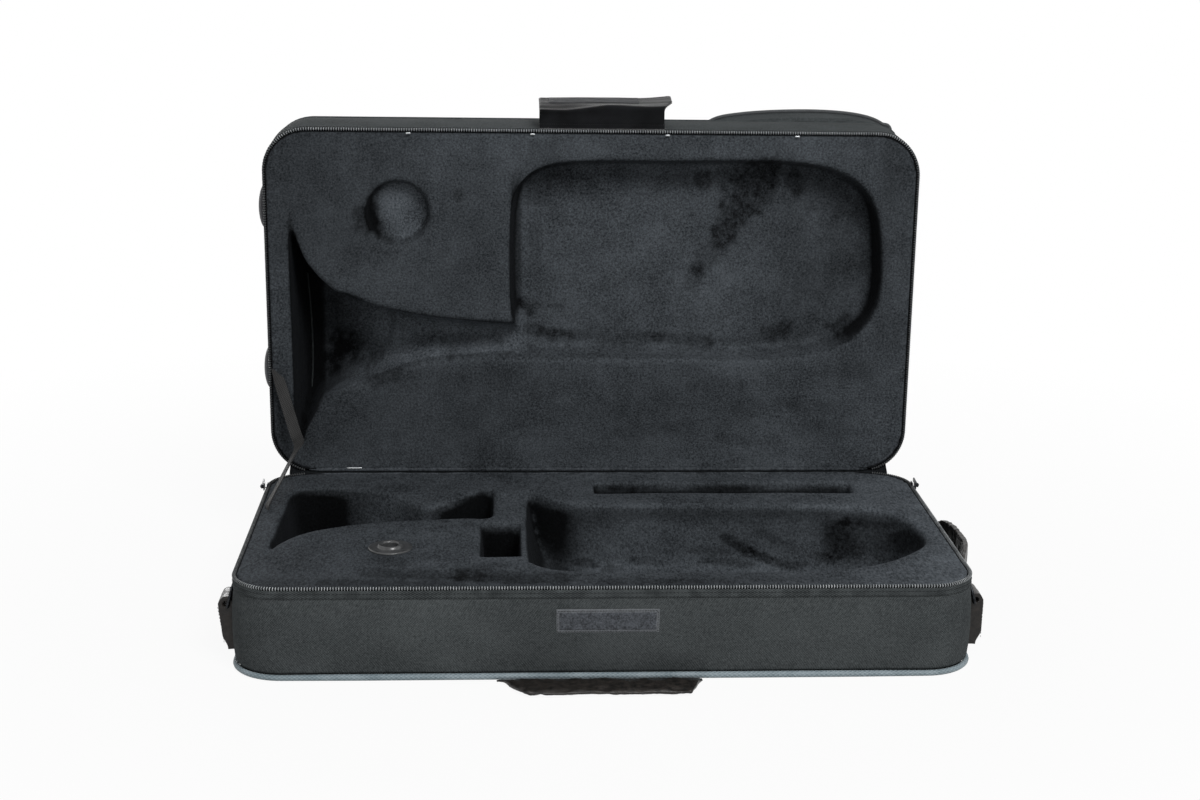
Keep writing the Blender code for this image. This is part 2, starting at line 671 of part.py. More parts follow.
def closure_flap():
    """The flap that folds over the zip: a root plate, a tip plate that curls back, and the hook tape on the tip."""
    top = CASE_DEPTH + FLAP_PIVOT_OUT
    root_axis = axis_empty("flap_axis", (FLAP_CENTRE, RIM_GAP / 2 + FLAP_ROOT_IN, top), LID_AXIS)
    seam_top = FLAP_PIVOT_OUT - FLAP_THICK / 2 - SEAT_GAP
    deep = RIM_GAP / 2 + FLAP_ROOT_IN
    low = (FLAP_CENTRE - FLAP_LONG / 2, deep - FLAP_SEAM_WIDE / 2, CASE_DEPTH + SEAT_GAP)
    high = (FLAP_CENTRE + FLAP_LONG / 2, deep + FLAP_SEAM_WIDE / 2, CASE_DEPTH + seam_top)
    add("flap_seam", box(low, high), NYLON, LID_AXIS)
    upright = swap((0, 0, 1), (0, 1, 0), (1, 0, 0))
    root_long = FLAP_ROOT_LONG - FLAP_THICK / 2 - SEAT_GAP
    root = prism([capsule(root_long, FLAP_THICK)], -FLAP_LONG / 2, FLAP_LONG / 2)
    add("flap_root", turn(root, upright), NYLON, root_axis)
    tip_axis = axis_empty("flap_tip_axis", (0, 0, FLAP_ROOT_LONG), root_axis)
    curl = Matrix.Rotation(math.radians(-FLAP_TIP_BACK), 4, "X")
    # Measured down the folded flap from its root, the patch's two edges give the hook tape's two ends.
    reach = BASE_HEIGHT + RIM_GAP + FLAP_ROOT_IN - PATCH_CENTRE_UP - FLAP_ROOT_LONG
    tip_long = reach + PATCH_TALL / 2 + FLAP_HEM
    tip = prism([capsule(tip_long, FLAP_THICK)], -FLAP_LONG / 2, FLAP_LONG / 2)
    add("flap_tip", turn(turn(tip, upright), curl), NYLON, tip_axis)
    near = -FLAP_THICK / 2 - SEAT_GAP
    low = (-FLAP_CENTRE - PATCH_LONG / 2, near - HOOK_TAPE_THICK, reach - PATCH_TALL / 2)
    high = (-FLAP_CENTRE + PATCH_LONG / 2, near, reach + PATCH_TALL / 2)
    add("flap_hook_tape", turn(box(low, high), curl), HOOK, tip_axis)


def dome(name, place, up, parent=None):
    """A dome foot on the left end wall."""
    radius = BASE_HEIGHT * FOOT_RADIUS_SHARE
    angles = [math.pi / 12 * i for i in range(7)]
    rounds = [(radius * math.sin(a), SEAT_GAP + FOOT_PROUD * math.cos(a)) for a in angles]
    part = turned(name, rounds + [(0, SEAT_GAP)], RUBBER, parent)
    part.rotation_euler = (0, -math.pi / 2, 0)
    part.location = (-CASE_LENGTH / 2, place, up)
    return part


def feet():
    for name, share in zip(("base_foot_front", "base_foot_rear"), BASE_FOOT_SHARES):
        dome(name, FRONT + CASE_DEPTH * share, BASE_HEIGHT * BASE_FOOT_UP_SHARE)
    for name, share in zip(("lid_foot_lower", "lid_foot_upper"), LID_FOOT_SHARES):
        dome(name, RIM_GAP / 2 + LID_FOOT_IN, CASE_DEPTH * share, LID_AXIS)


def superellipse(half, tall, power=2.6, steps=20):
    """Half of a rounded arch, from one foot to the other."""
    angles = [math.pi * i / steps for i in range(steps + 1)]
    return [
        (math.copysign(abs(math.cos(a)) ** (2 / power), math.cos(a)) * half, abs(math.sin(a)) ** (2 / power) * tall)
        for a in angles
    ]


def ring_and_tab(side, word, foot_proud):
    """A leather tab on an end wall and the steel D-ring whose bar runs through its fold."""
    outside = swap((side, 0, 0), (0, 0, 1), (0, 1, 0))
    fold = RING_WIRE_RADIUS + RING_PLAY + TAB_LEATHER
    outer = TAB_TOP_PROUD - RING_BAR_OUT
    bar_up = BASE_HEIGHT * RING_BAR_UP_SHARE
    low = BASE_HEIGHT * TAB_LOW_SHARE
    outline = [(SEAT_GAP, low), (foot_proud, low), (TAB_TOP_PROUD, bar_up)]
    outline += arc((RING_BAR_OUT, bar_up), (outer + fold) / 2, 30, 150)
    outline += [(SEAT_GAP, bar_up)]
    middle = -END_HANDLE_HALF - TAB_CLEAR - TAB_WIDE / 2
    wall = side * CASE_LENGTH / 2
    place = shift(wall, middle, 0) @ outside
    tab = add(f"d_ring_tab_{word}", turn(prism([outline], -TAB_WIDE / 2, TAB_WIDE / 2), place), LEATHER)
    bore = cylinder(RING_WIRE_RADIUS + RING_PLAY, -TAB_WIDE, TAB_WIDE, 16)
    combine(tab, turn(bore, place @ shift(RING_BAR_OUT, bar_up, 0)))
    axis = axis_empty(f"d_ring_axis_{word}", (wall + side * RING_BAR_OUT, middle, bar_up))
    tall = BASE_HEIGHT * RING_TALL_SHARE
    lean = math.asin((RING_BAR_OUT - RING_WIRE_RADIUS - 2 * SEAT_GAP) / tall)
    half = TAB_WIDE / 2 + RING_WIRE_RADIUS + 2 * RING_PLAY
    bend = RING_WIRE_RADIUS
    points = [(-half + bend, 0), (half - bend, 0)]
    points += [(wide, up + bend) for wide, up in superellipse(half, tall - bend, 2.6, 12)]
    bent = [(-side * up * math.sin(lean), wide, up * math.cos(lean)) for wide, up in points]
    tube(f"d_ring_{word}", bent, RING_WIRE_RADIUS, STEEL, axis, cyclic=True, resolution=2)


def end_handle():
    """The arched handle on the right end wall, on two sewn pads."""
    wall = CASE_LENGTH / 2
    pivot = SEAT_GAP + ANCHOR_THICK + SEAT_GAP + END_HANDLE_PIN
    axis = axis_empty("end_handle_axis", (wall + pivot, 0, END_HANDLE_UP))
    tall = END_HANDLE_PROUD - pivot
    outer = superellipse(END_HANDLE_HALF, tall)
    inner = superellipse(END_HANDLE_HALF - END_HANDLE_THICK, tall - END_HANDLE_THICK)
    arch = prism([outer + inner[::-1]], -END_HANDLE_WIDE, END_HANDLE_WIDE)
    sideways = swap((0, 1, 0), (1, 0, 0), (0, 0, 1))
    part = add("end_handle", turn(arch, sideways), LEATHER, axis)
    full = END_HANDLE_HALF + OVERRUN
    inside = END_HANDLE_HALF - END_HANDLE_TAPER
    end, wide = END_HANDLE_END_WIDE / 2, END_HANDLE_WIDE / 2
    outline = [(-full, -end), (-END_HANDLE_HALF, -end), (-inside, -wide)]
    outline += [(-x, y) for x, y in outline[::-1]]
    outline += [(x, -y) for x, y in outline[::-1]]
    bound = prism([outline], -OVERRUN, tall + OVERRUN)
    combine(part, turn(bound, swap((0, 1, 0), (0, 0, 1), (1, 0, 0))), "INTERSECT")
    lying = swap((1, 0, 0), (0, 0, 1), (0, 1, 0))
    for sign, word in ((-1, "front"), (1, "rear")):
        ends = sorted((sign * (END_HANDLE_HALF - PIN_INSET), sign * (END_HANDLE_HALF - END_HANDLE_THICK + PIN_INSET)))
        combine(part, turn(cylinder(END_HANDLE_PIN, *ends), lying), "UNION")
        middle = sign * (END_HANDLE_HALF - END_HANDLE_THICK / 2)
        low = (wall + SEAT_GAP, middle - ANCHOR_PAD / 2, END_HANDLE_UP - ANCHOR_PAD / 2)
        high = (wall + SEAT_GAP + ANCHOR_THICK, middle + ANCHOR_PAD / 2, END_HANDLE_UP + ANCHOR_PAD / 2)
        add(f"end_handle_anchor_{word}", box(low, high), LEATHER)


def carry_handle():
    """The flat handle that lies on the floor before the front bottom edge, on two tabs sewn under the case."""
    pin_up = SEAT_GAP + CARRY_PIN
    axis = axis_empty("carry_handle_axis", (CARRY_CENTRE, FRONT - CARRY_PIVOT_OUT, pin_up))
    reach = CARRY_REACH - CARRY_PIVOT_OUT
    gap = reach - CARRY_GRIP_WIDE
    slant = (CARRY_HALF - CARRY_GRIP_HALF) * gap / reach
    half, leg = CARRY_HALF, CARRY_LEG
    outline = [(-half, CARRY_PIN), (-half, 0), (-CARRY_GRIP_HALF, -reach), (CARRY_GRIP_HALF, -reach), (half, 0)]
    outline += [(half, CARRY_PIN), (half - leg, CARRY_PIN), (half - leg, 0), (half - leg - slant, -gap)]
    outline += [(-half + leg + slant, -gap), (-half + leg, 0), (-half + leg, CARRY_PIN)]
    part = add("carry_handle", prism([outline], -OVERRUN, OVERRUN), LEATHER, axis)
    root = CARRY_ROOT_THICK - CARRY_PIN
    top = CARRY_THICK - CARRY_PIN
    side = arc((0, 0), CARRY_PIN, -90, 90) + [
        (-gap / 2, root), (-gap - CARRY_EDGE, top), (-reach + CARRY_EDGE, top), (-reach - SEAT_GAP, top - CARRY_EDGE),
        (-reach - SEAT_GAP, -CARRY_PIN + CARRY_EDGE / 2), (-reach + CARRY_EDGE / 2, -CARRY_PIN),
    ]
    bound = prism([side], -CARRY_HALF - OVERRUN, CARRY_HALF + OVERRUN)
    combine(part, turn(bound, swap((0, 1, 0), (0, 0, 1), (1, 0, 0))), "INTERSECT")
    for sign, word in ((-1, "left"), (1, "right")):
        x = CARRY_CENTRE + sign * (CARRY_HALF - CARRY_LEG / 2)
        near = FRONT - CARRY_PIVOT_OUT + CARRY_PIN + SEAT_GAP
        low = (x - CARRY_TAB_WIDE / 2, near, CARRY_TAB_LIFT)
        high = (x + CARRY_TAB_WIDE / 2, FRONT + CARRY_TAB_LONG, CARRY_TAB_LIFT + CARRY_TAB_THICK)
        add(f"carry_handle_anchor_{word}", box(low, high), LEATHER)


def puller(name, parent, matrix):
    """A pull tab that turns about a small pin along its own Z, drawn pointing along its own Y."""
    half = PULL_EYE_TALL / 2
    eye = cylinder(PULL_EYE_RADIUS, -half, half, 16)
    part = add(name, turn(eye, matrix), STEEL, parent)
    neck = half - SEAT_GAP
    tongue = [(PULL_EYE_RADIUS / 2, -neck), (PULL_SHOULDER, -neck), (PULL_LONG, -PULL_WIDE / 2)]
    tongue += [(PULL_LONG, PULL_WIDE / 2), (PULL_SHOULDER, neck), (PULL_EYE_RADIUS / 2, neck)]
    plate = prism([tongue], -PULL_THICK / 2, PULL_THICK / 2)
    combine(part, turn(plate, matrix @ swap((0, 1, 0), (0, 0, 1), (1, 0, 0))), "UNION")
    combine(part, turn(cylinder(PULL_PIN_RADIUS + PULL_EYE_PLAY, -PULL_WIDE, PULL_WIDE, 16), matrix))
    return part


def lugs(part, matrix, base):
    """Two lugs and a pin on a slider's face, about the pin's own Z, with the face at -base along X."""
    inner = PULL_EYE_TALL / 2 + SEAT_GAP
    outer = inner + PULL_LUG
    for sign in (-1, 1):
        low, high = sorted((sign * inner, sign * outer))
        lug = box((-base - SEAT_GAP, -PULL_LUG, low), (PULL_PIN_RADIUS + SEAT_GAP, PULL_LUG, high))
        combine(part, turn(lug, matrix), "UNION")
    combine(part, turn(cylinder(PULL_PIN_RADIUS, -inner - SEAT_GAP, inner + SEAT_GAP, 12), matrix), "UNION")


def zip_slider(side, word):
    """A slider on the rim zip: two plates joined by a neck between the coils, a pin and a pull."""
    wall = side * CASE_LENGTH / 2
    middle = BASE_HEIGHT + RIM_GAP / 2
    rest = CASE_DEPTH / 2 - CORNER_RADIUS - SLIDER_LONG / 2
    axis = axis_empty(f"zip_slider_axis_{word}", (wall, rest, middle))
    out = swap((side, 0, 0), (0, 1, 0), (0, 0, 1))
    long, tall = SLIDER_LONG / 2, SLIDER_TALL / 2
    face = SLIDER_OUTER_OUT + SLIDER_PLATE
    outer = box((SLIDER_OUTER_OUT, -long, -tall), (face, long, tall))
    part = add(f"zip_slider_{word}", turn(outer, out), STEEL, axis)
    inner = box((SLIDER_INNER_OUT, -long, -tall), (SLIDER_INNER_OUT + SLIDER_PLATE, long, tall))
    combine(part, turn(inner, out), "UNION")
    low = (SLIDER_INNER_OUT + SEAT_GAP, -long + SEAT_GAP, -SLIDER_NECK / 2)
    neck = box(low, (face - SEAT_GAP, -long + 2 * SLIDER_NECK, SLIDER_NECK / 2))
    combine(part, turn(neck, out), "UNION")
    reach = SEAT_GAP + PULL_EYE_RADIUS
    pin = (face + reach, 0, 0)
    lugs(part, out @ shift(*pin), reach)
    pull_axis = axis_empty(f"zip_pull_axis_{word}", (side * (face + reach), 0, 0), axis)
    puller(f"zip_pull_{word}", pull_axis, out)


def lid_pocket():
    """The padded outer pocket on the lid, its piping, its zip and the zip's slider and pull."""
    low = LID_THICKNESS + SEAT_GAP
    high = LID_THICKNESS + POCKET_DEEP
    outline = smooth(from_shares(POCKET_SHARES, 0))
    add("lid_pocket", turn(prism([outline], low, high), STAND), NYLON, LID_AXIS)
    count = len(outline)
    out = POCKET_PIPING_RADIUS + SEAT_GAP
    ring = []
    for i, point in enumerate(outline):
        ahead = Vector(outline[(i + 1) % count]) - Vector(outline[i - 1])
        normal = Vector((-ahead.y, ahead.x)).normalized()
        ring.append((point[0] + normal.x * out, RIM_GAP / 2 + high - POCKET_PIPING_RADIUS, point[1] + normal.y * out))
    tube("lid_pocket_piping", ring, POCKET_PIPING_RADIUS, TAPE, LID_AXIS, cyclic=True)
    left, right, up = POCKET_ZIP_SHARES
    left, right, up = CASE_LENGTH * left, CASE_LENGTH * right, CASE_DEPTH * up
    start = RIM_GAP / 2 + high + SEAT_GAP
    tape = box((left, start, up - POCKET_ZIP_WIDE / 2), (right, start + POCKET_ZIP_THICK, up + POCKET_ZIP_WIDE / 2))
    part = add("lid_pocket_zip", tape, TAPE, LID_AXIS)
    ridge_top = start + POCKET_ZIP_THICK + POCKET_RIDGE_THICK
    half = POCKET_RIDGE_WIDE / 2
    ridge = box((left + half, start + SEAT_GAP, up - half), (right - half, ridge_top, up + half))
    combine(part, ridge, "UNION")
    # The slider straddles the ridge at the zip's closed end.
    axis = axis_empty("pocket_slider_axis", (right - POCKET_SLIDER_LONG, ridge_top + SEAT_GAP, up), LID_AXIS)
    half_long = POCKET_SLIDER_LONG / 2
    wide = POCKET_SLIDER_WIDE / 2
    saddle = box((-half_long, -POCKET_RIDGE_THICK, -wide), (half_long, POCKET_SLIDER_THICK, wide))
    slider = add("pocket_slider", saddle, STEEL, axis)
    channel = half + SEAT_GAP
    combine(slider, box((-OVERRUN, -OVERRUN, -channel), (OVERRUN, 0, channel)))
    reach = SEAT_GAP + PULL_EYE_RADIUS
    across = swap((0, 1, 0), (0, 0, -1), (-1, 0, 0))
    pin = (0, POCKET_SLIDER_THICK + reach, 0)
    lugs(slider, shift(*pin) @ across, reach)
    pull_axis = axis_empty("pocket_pull_axis", pin, axis)
    puller("pocket_pull", pull_axis, across)


shells()
base_insert()
lid_insert()
mouthpiece_bush()
edge_piping()
zips()
hinge_strips()
staples()
stay_strap()
loop_patch()
closure_flap()
feet()
ring_and_tab(-1, "left", TAB_LEFT_FOOT_PROUD)
ring_and_tab(1, "right", TAB_RIGHT_FOOT_PROUD)
end_handle()
carry_handle()
zip_slider(-1, "left")
zip_slider(1, "right")
lid_pocket()
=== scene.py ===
import math

import bmesh
import bpy
import numpy as np
from mathutils import Matrix, Vector


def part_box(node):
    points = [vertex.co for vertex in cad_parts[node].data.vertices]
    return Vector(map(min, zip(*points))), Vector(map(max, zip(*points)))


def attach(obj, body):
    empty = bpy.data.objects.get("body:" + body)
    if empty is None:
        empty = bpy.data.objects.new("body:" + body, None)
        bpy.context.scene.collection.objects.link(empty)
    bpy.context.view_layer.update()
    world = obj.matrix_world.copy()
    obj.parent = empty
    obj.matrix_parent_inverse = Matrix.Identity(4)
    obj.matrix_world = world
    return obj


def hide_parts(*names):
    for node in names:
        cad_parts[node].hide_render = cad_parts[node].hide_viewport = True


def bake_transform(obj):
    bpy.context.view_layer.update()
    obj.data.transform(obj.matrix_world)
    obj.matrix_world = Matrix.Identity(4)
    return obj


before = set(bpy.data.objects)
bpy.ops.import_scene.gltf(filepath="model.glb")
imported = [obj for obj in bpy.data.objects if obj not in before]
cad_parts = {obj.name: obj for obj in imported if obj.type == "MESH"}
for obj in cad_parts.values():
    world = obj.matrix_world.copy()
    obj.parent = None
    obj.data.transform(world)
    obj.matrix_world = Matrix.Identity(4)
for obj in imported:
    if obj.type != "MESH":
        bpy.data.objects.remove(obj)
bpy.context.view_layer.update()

# Camera, floor and light
# The open case stands on a plain white floor under soft studio light: a large lamp above the front, a weak one low
# on the left and a third behind, which lights only the back. The lens looks down on it from the front, a little to
# its left, and a small shift gives the picture's own framing.


def add_node(tree, kind, inputs=None, **settings):
    """A shader or geometry node with its settings; each input is a value, or an output or a node to link from."""
    made = tree.nodes.new(kind)
    for name, value in settings.items():
        setattr(made, name, value)
    for key, value in (inputs or {}).items():
        if isinstance(value, bpy.types.Node):
            value = value.outputs[0]
        if isinstance(value, bpy.types.NodeSocket):
            tree.links.new(value, made.inputs[key])
        else:
            made.inputs[key].default_value = value
    return made


def set_down(name, data):
    """A new object in the scene, at the origin; its data takes its name."""
    data.name = name
    made = bpy.data.objects.new(name, data)
    bpy.context.scene.collection.objects.link(made)
    return made


def empty_material(name):
    """A material and its empty node tree."""
    made = bpy.data.materials.new(name)
    made.use_nodes = True
    made.node_tree.nodes.clear()
    return made, made.node_tree


def shown(tree):
    """1 for what the camera sees, also in a gloss or through a clear surface, and 0 for all other light."""
    ray = add_node(tree, "ShaderNodeLightPath").outputs
    seen = add_node(tree, "ShaderNodeMath", {0: ray["Is Camera Ray"], 1: ray["Is Glossy Ray"]}, operation="ADD")
    return add_node(tree, "ShaderNodeMath", {0: seen, 1: ray["Is Transmission Ray"]}, operation="ADD", use_clamp=True)


lens = bpy.data.cameras.new("camera")
lens.sensor_fit = "HORIZONTAL"
lens.sensor_width = 36.0
lens.lens = 58.68
lens.shift_x, lens.shift_y = -0.0196, 0.0515
camera = set_down("camera", lens)
pitch, yaw, roll = math.radians(16.11), math.radians(3.67), math.radians(0.95)
ahead = Vector((math.sin(yaw) * math.cos(pitch), math.cos(yaw) * math.cos(pitch), -math.sin(pitch)))
level = Vector((math.cos(yaw), -math.sin(yaw), 0))
rise = level.cross(ahead)
right = math.cos(roll) * level + math.sin(roll) * rise
above = math.cos(roll) * rise - math.sin(roll) * level
eye = Matrix.Translation((-0.0891, -1.7333, 0.6459))
camera.matrix_world = eye @ Matrix((right, above, -ahead)).transposed().to_4x4()
bpy.context.scene.camera = camera
bpy.context.scene.view_settings.view_transform = "Standard"

# White studio: plain white where it is seen, and a weak fill light on the case.
world = bpy.data.worlds.new("studio")
bpy.context.scene.world = world
world.use_nodes = True
sky = world.node_tree
sky.nodes.clear()
fill = add_node(sky, "ShaderNodeMapRange", {"Value": shown(sky), "To Min": 0.32, "To Max": 1.0})
glow = add_node(sky, "ShaderNodeBackground", {"Color": (1, 1, 1, 1), "Strength": fill})
add_node(sky, "ShaderNodeOutputWorld", {"Surface": glow})

# White paper sweep: a matt card that holds the case's soft shadow, and runs out to plain white further away.
paper, tree = empty_material("white_sweep")
place = add_node(tree, "ShaderNodeTexCoord").outputs["Object"]
reach = add_node(tree, "ShaderNodeVectorMath", {0: place}, operation="LENGTH").outputs["Value"]
fade = add_node(tree, "ShaderNodeMapRange", {
    "Value": reach, "From Min": 0.4, "From Max": 1.2, "To Min": 0.93, "To Max": 1.0,
})
share = add_node(tree, "ShaderNodeMath", {0: shown(tree), 1: fade}, operation="MULTIPLY")
card = add_node(tree, "ShaderNodeBsdfDiffuse", {"Color": (0.62, 0.62, 0.62, 1)})
lit = add_node(tree, "ShaderNodeEmission", {"Color": (1, 1, 1, 1), "Strength": 1.0})
mixed = add_node(tree, "ShaderNodeMixShader", {0: share, 1: card, 2: lit})
add_node(tree, "ShaderNodeOutputMaterial", {"Surface": mixed})
ground = bpy.data.meshes.new("floor")
ground.from_pydata([(-9, -9, 0), (9, -9, 0), (9, 9, 0), (-9, 9, 0)], [], [(0, 1, 2, 3)])
ground.materials.append(paper)
set_down("floor", ground)

LAMPS_AIM = Vector((0, 0, 0.15))
for name, place, size, watts in (
    ("key_lamp", (1.2, -2.6, 3.2), 1.6, 132.0),
    ("low_lamp", (-0.9, -3.0, 0.8), 1.2, 9.0),
    ("rear_lamp", (-0.7, 2.9, 0.40), 1.2, 32.0),
):
    lamp = bpy.data.lights.new(name, "AREA")
    lamp.size, lamp.energy = size, watts
    turn = (LAMPS_AIM - Vector(place)).to_track_quat("-Z", "Y").to_matrix().to_4x4()
    set_down(name, lamp).matrix_world = Matrix.Translation(place) @ turn

# Nylon shells of the two halves
# Padded trays of woven 600-denier nylon over foam board, with rounded plan corners, a seat for the piping at
# the outer edge and a step at the rim where the zip tape is sewn. The base and the lid are the same kind of tray.
LONG, DEEP, CORNER = 0.640, 0.343, 0.042
BASE_TALL, LID_TALL = 0.083, 0.095
HINGE_Y, HINGE_Z = 0.1715, 0.0845
LID_FACE_Y = HINGE_Y + 0.0015
# The number of points round one tray, and how far its inner wall lies inside its outline.
ROUND, WALL = 420, 0.0028


def rim(out, pitch, opening=0.0):
    """Evenly spaced points along the case's outline moved outwards, from the rear right corner round the front."""
    half_long, half_deep = LONG / 2 - CORNER, DEEP / 2 - CORNER
    line = []
    for cx, cy, start, end in (
        (half_long, half_deep, 90 - opening, 0), (half_long, -half_deep, 0, -90),
        (-half_long, -half_deep, -90, -180), (-half_long, half_deep, 180, 90 + opening),
    ):
        for k in range(25):
            angle = math.radians(start + (end - start) * k / 24)
            line.append((cx + (CORNER + out) * math.cos(angle), cy + (CORNER + out) * math.sin(angle)))
    return even(np.array(line), pitch, opening == 0)


def run_along(line):
    """The length from a line's first point to each of its points."""
    return np.concatenate([[0], np.cumsum(np.linalg.norm(np.diff(line, axis=0), axis=1))])


def even(line, pitch, closed):
    """Points at about one pitch along a line of points; their number depends only on the middle line."""
    if closed:
        line = np.vstack([line, line[:1]])
    run = run_along(line)
    count = pitch if isinstance(pitch, int) else max(2, round(run[-1] / pitch))
    at = np.linspace(0, run[-1], count + 1)
    spread = np.column_stack([np.interp(at, run, line[:, k]) for k in range(line.shape[1])])
    return spread[:-1] if closed else spread


def stand_up(points):
    """Lid points drawn flat (x, height above the hinge, depth behind the rim plane), stood up in the open lid."""
    points = np.asarray(points, float)
    return np.column_stack([points[:, 0], LID_FACE_Y + points[:, 2], HINGE_Z + points[:, 1]])


def lid_over(rows, tall):
    """Points drawn about a half of that height that lies on its back, carried to the open lid."""
    flat = np.asarray(rows, float).reshape(-1, 3)
    moved = stand_up(np.column_stack([flat[:, 0], DEEP / 2 - flat[:, 1], tall - flat[:, 2]]))
    return moved.reshape(np.shape(rows))


def at_height(line, height):
    """A flat line with a third measure, the same for all its points."""
    return np.column_stack([line, np.full(len(line), height)])


def tenths(points):
    """Points given in tenths of a millimetre, in metres."""
    return [tuple(value / 10000 for value in point) for point in points]


def dress(made, finish, body, slot=None, *replaced):
    """Gives a piece its material and body, and lets it stand for its CAD nodes; its slot is not used."""
    made.data.materials.clear()
    made.data.materials.append(finish)
    if body:
        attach(made, body)
    if replaced:
        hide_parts(*replaced)
    return made


def piece(name, mesh, finish, body, slot=None, *replaced):
    """A finished piece made of a mesh."""
    return dress(set_down(name, mesh), finish, body, slot, *replaced)


def skin(rows, join=False):
    """A mesh through closed rings of points, capped at both ends or joined into a loop, with a UV map in metres:
    u runs round a ring and v from ring to ring."""
    rows = np.asarray(rows, float)
    count, wide = rows.shape[:2]
    mesh = bpy.data.meshes.new("skin")
    faces, corners = [], []
    ring = np.concatenate([rows, rows[:, :1]], axis=1)
    u = np.cumsum(np.linalg.norm(np.diff(ring, axis=1), axis=2), axis=1)
    u = np.concatenate([np.zeros((count, 1)), u], axis=1)
    looped = np.concatenate([rows, rows[:1]]) if join else rows
    v = np.concatenate([[0], np.cumsum(np.linalg.norm(np.diff(looped, axis=0), axis=2).mean(axis=1))])
    for i in range(count if join else count - 1):
        k = (i + 1) % count
        for j in range(wide):
            m = (j + 1) % wide
            faces.append((i * wide + j, i * wide + m, k * wide + m, k * wide + j))
            corners += [(u[i, j], v[i]), (u[i, j + 1], v[i]), (u[k, j + 1], v[i + 1]), (u[k, j], v[i + 1])]
    if not join:
        for end in (0, count - 1):
            faces.append([end * wide + j for j in range(wide)])
            corners += [(p[0], p[1]) for p in rows[end]]
    mesh.from_pydata(rows.reshape(-1, 3).tolist(), [], faces)
    mesh.uv_layers.new(name="weave").data.foreach_set("uv", np.array(corners, np.float32).ravel())
    tidy = bmesh.new()
    tidy.from_mesh(mesh)
    bmesh.ops.recalc_face_normals(tidy, faces=tidy.faces)
    tidy.to_mesh(mesh)
    tidy.free()
    mesh.shade_smooth()
    mesh.set_sharp_from_angle(angle=math.radians(50))
    return mesh


def applied(made):
    """Turns an object's live modifiers into its plain mesh."""
    graph = bpy.context.evaluated_depsgraph_get()
    copy = made.evaluated_get(graph)
    mesh = bpy.data.meshes.new_from_object(copy, preserve_all_data_layers=True, depsgraph=graph)
    made.modifiers.clear()
    made.data = mesh
    return made


def surface(tree, **inputs):
    """Ends a material in its shader; each input is a value on the shader's own socket, or an output or a node."""
    named = {key.replace("_", " "): value for key, value in inputs.items()}
    shader = add_node(tree, "ShaderNodeBsdfPrincipled", named)
    add_node(tree, "ShaderNodeOutputMaterial", {"Surface": shader})


def colour(code):
    """An sRGB hex colour as linear values."""
    parts = [int(code[i:i + 2], 16) / 255 for i in (1, 3, 5)]
    return [p / 12.92 if p <= 0.04045 else ((p + 0.055) / 1.055) ** 2.4 for p in parts] + [1.0]


def blend_colours(tree, factor, low, high, start=0.3, end=0.7):
    """A ramp between two hex colours."""
    ramp = add_node(tree, "ShaderNodeValToRGB", {0: factor})
    first, last = ramp.color_ramp.elements
    first.position, last.position = start, end
    first.color, last.color = colour(low), colour(high)
    return ramp


def weave(tree, across, along):
    """Height of a plain weave on the weave UV map, with threads that far apart in metres."""
    split = add_node(tree, "ShaderNodeSeparateXYZ", {0: add_node(tree, "ShaderNodeUVMap", uv_map="weave")})
    waves = []
    for axis, spacing in ((0, across), (1, along)):
        half_turns = {0: split.outputs[axis], 1: math.pi / spacing}
        turn = add_node(tree, "ShaderNodeMath", half_turns, operation="MULTIPLY")
        waves.append(add_node(tree, "ShaderNodeMath", {0: turn}, operation="SINE"))
    return add_node(tree, "ShaderNodeMath", {0: waves[0], 1: waves[1]}, operation="MULTIPLY")


def cloud(tree, size, detail=3.0, rough=0.55, squeeze=None):
    """Noise on Object coordinates whose lumps are about that many metres across."""
    place = add_node(tree, "ShaderNodeTexCoord").outputs["Object"]
    if squeeze:
        place = add_node(tree, "ShaderNodeMapping", {"Vector": place, "Scale": squeeze})
    lumps = {"Vector": place, "Scale": 1 / size, "Detail": detail, "Roughness": rough}
    return add_node(tree, "ShaderNodeTexNoise", lumps).outputs["Fac"]


def clouds(tree, *layers):
    """Clouds of several sizes added up; a layer is its share, its size and what else a cloud takes."""
    total = 0.0
    for share, *grain in layers:
        layer = {0: cloud(tree, *grain), 1: share, 2: total}
        total = add_node(tree, "ShaderNodeMath", layer, operation="MULTIPLY_ADD")
    return total


# Woven nylon, PU-backed: matt, with a fine thread pattern and cloudy lighter and darker areas. Real threads are
# 0.5 mm apart, too fine for the picture, so they are drawn 1.1 mm apart.
nylon, tree = empty_material("woven_nylon")
threads = weave(tree, 0.0011, 0.0011)
lumps = clouds(tree, (0.28, 0.05), (0.72, 0.0022, 3.0, 0.85))
tint = add_node(tree, "ShaderNodeMath", {0: threads, 1: 0.10, 2: lumps}, operation="MULTIPLY_ADD")
bump = add_node(tree, "ShaderNodeBump", {"Strength": 0.35, "Distance": 0.0003, "Height": threads})
soft = add_node(tree, "ShaderNodeBump", {
    "Strength": 0.5, "Distance": 0.003, "Height": cloud(tree, 0.07, 1.0), "Normal": bump,
})
surface(
    tree, Roughness=0.85, Specular_IOR_Level=0.03, Normal=soft,
    Base_Color=blend_colours(tree, tint, "#2e3132", "#4f5354", 0.34, 0.68),
)

# Rim lining: the black fleece-backed cloth that shows as a thin dark line inside the zip.
rim_black, tree = empty_material("rim_lining")
lint = blend_colours(tree, cloud(tree, 0.003), "#0d0e0f", "#1c1e20")
surface(tree, Roughness=0.9, Specular_IOR_Level=0.04, Base_Color=lint)

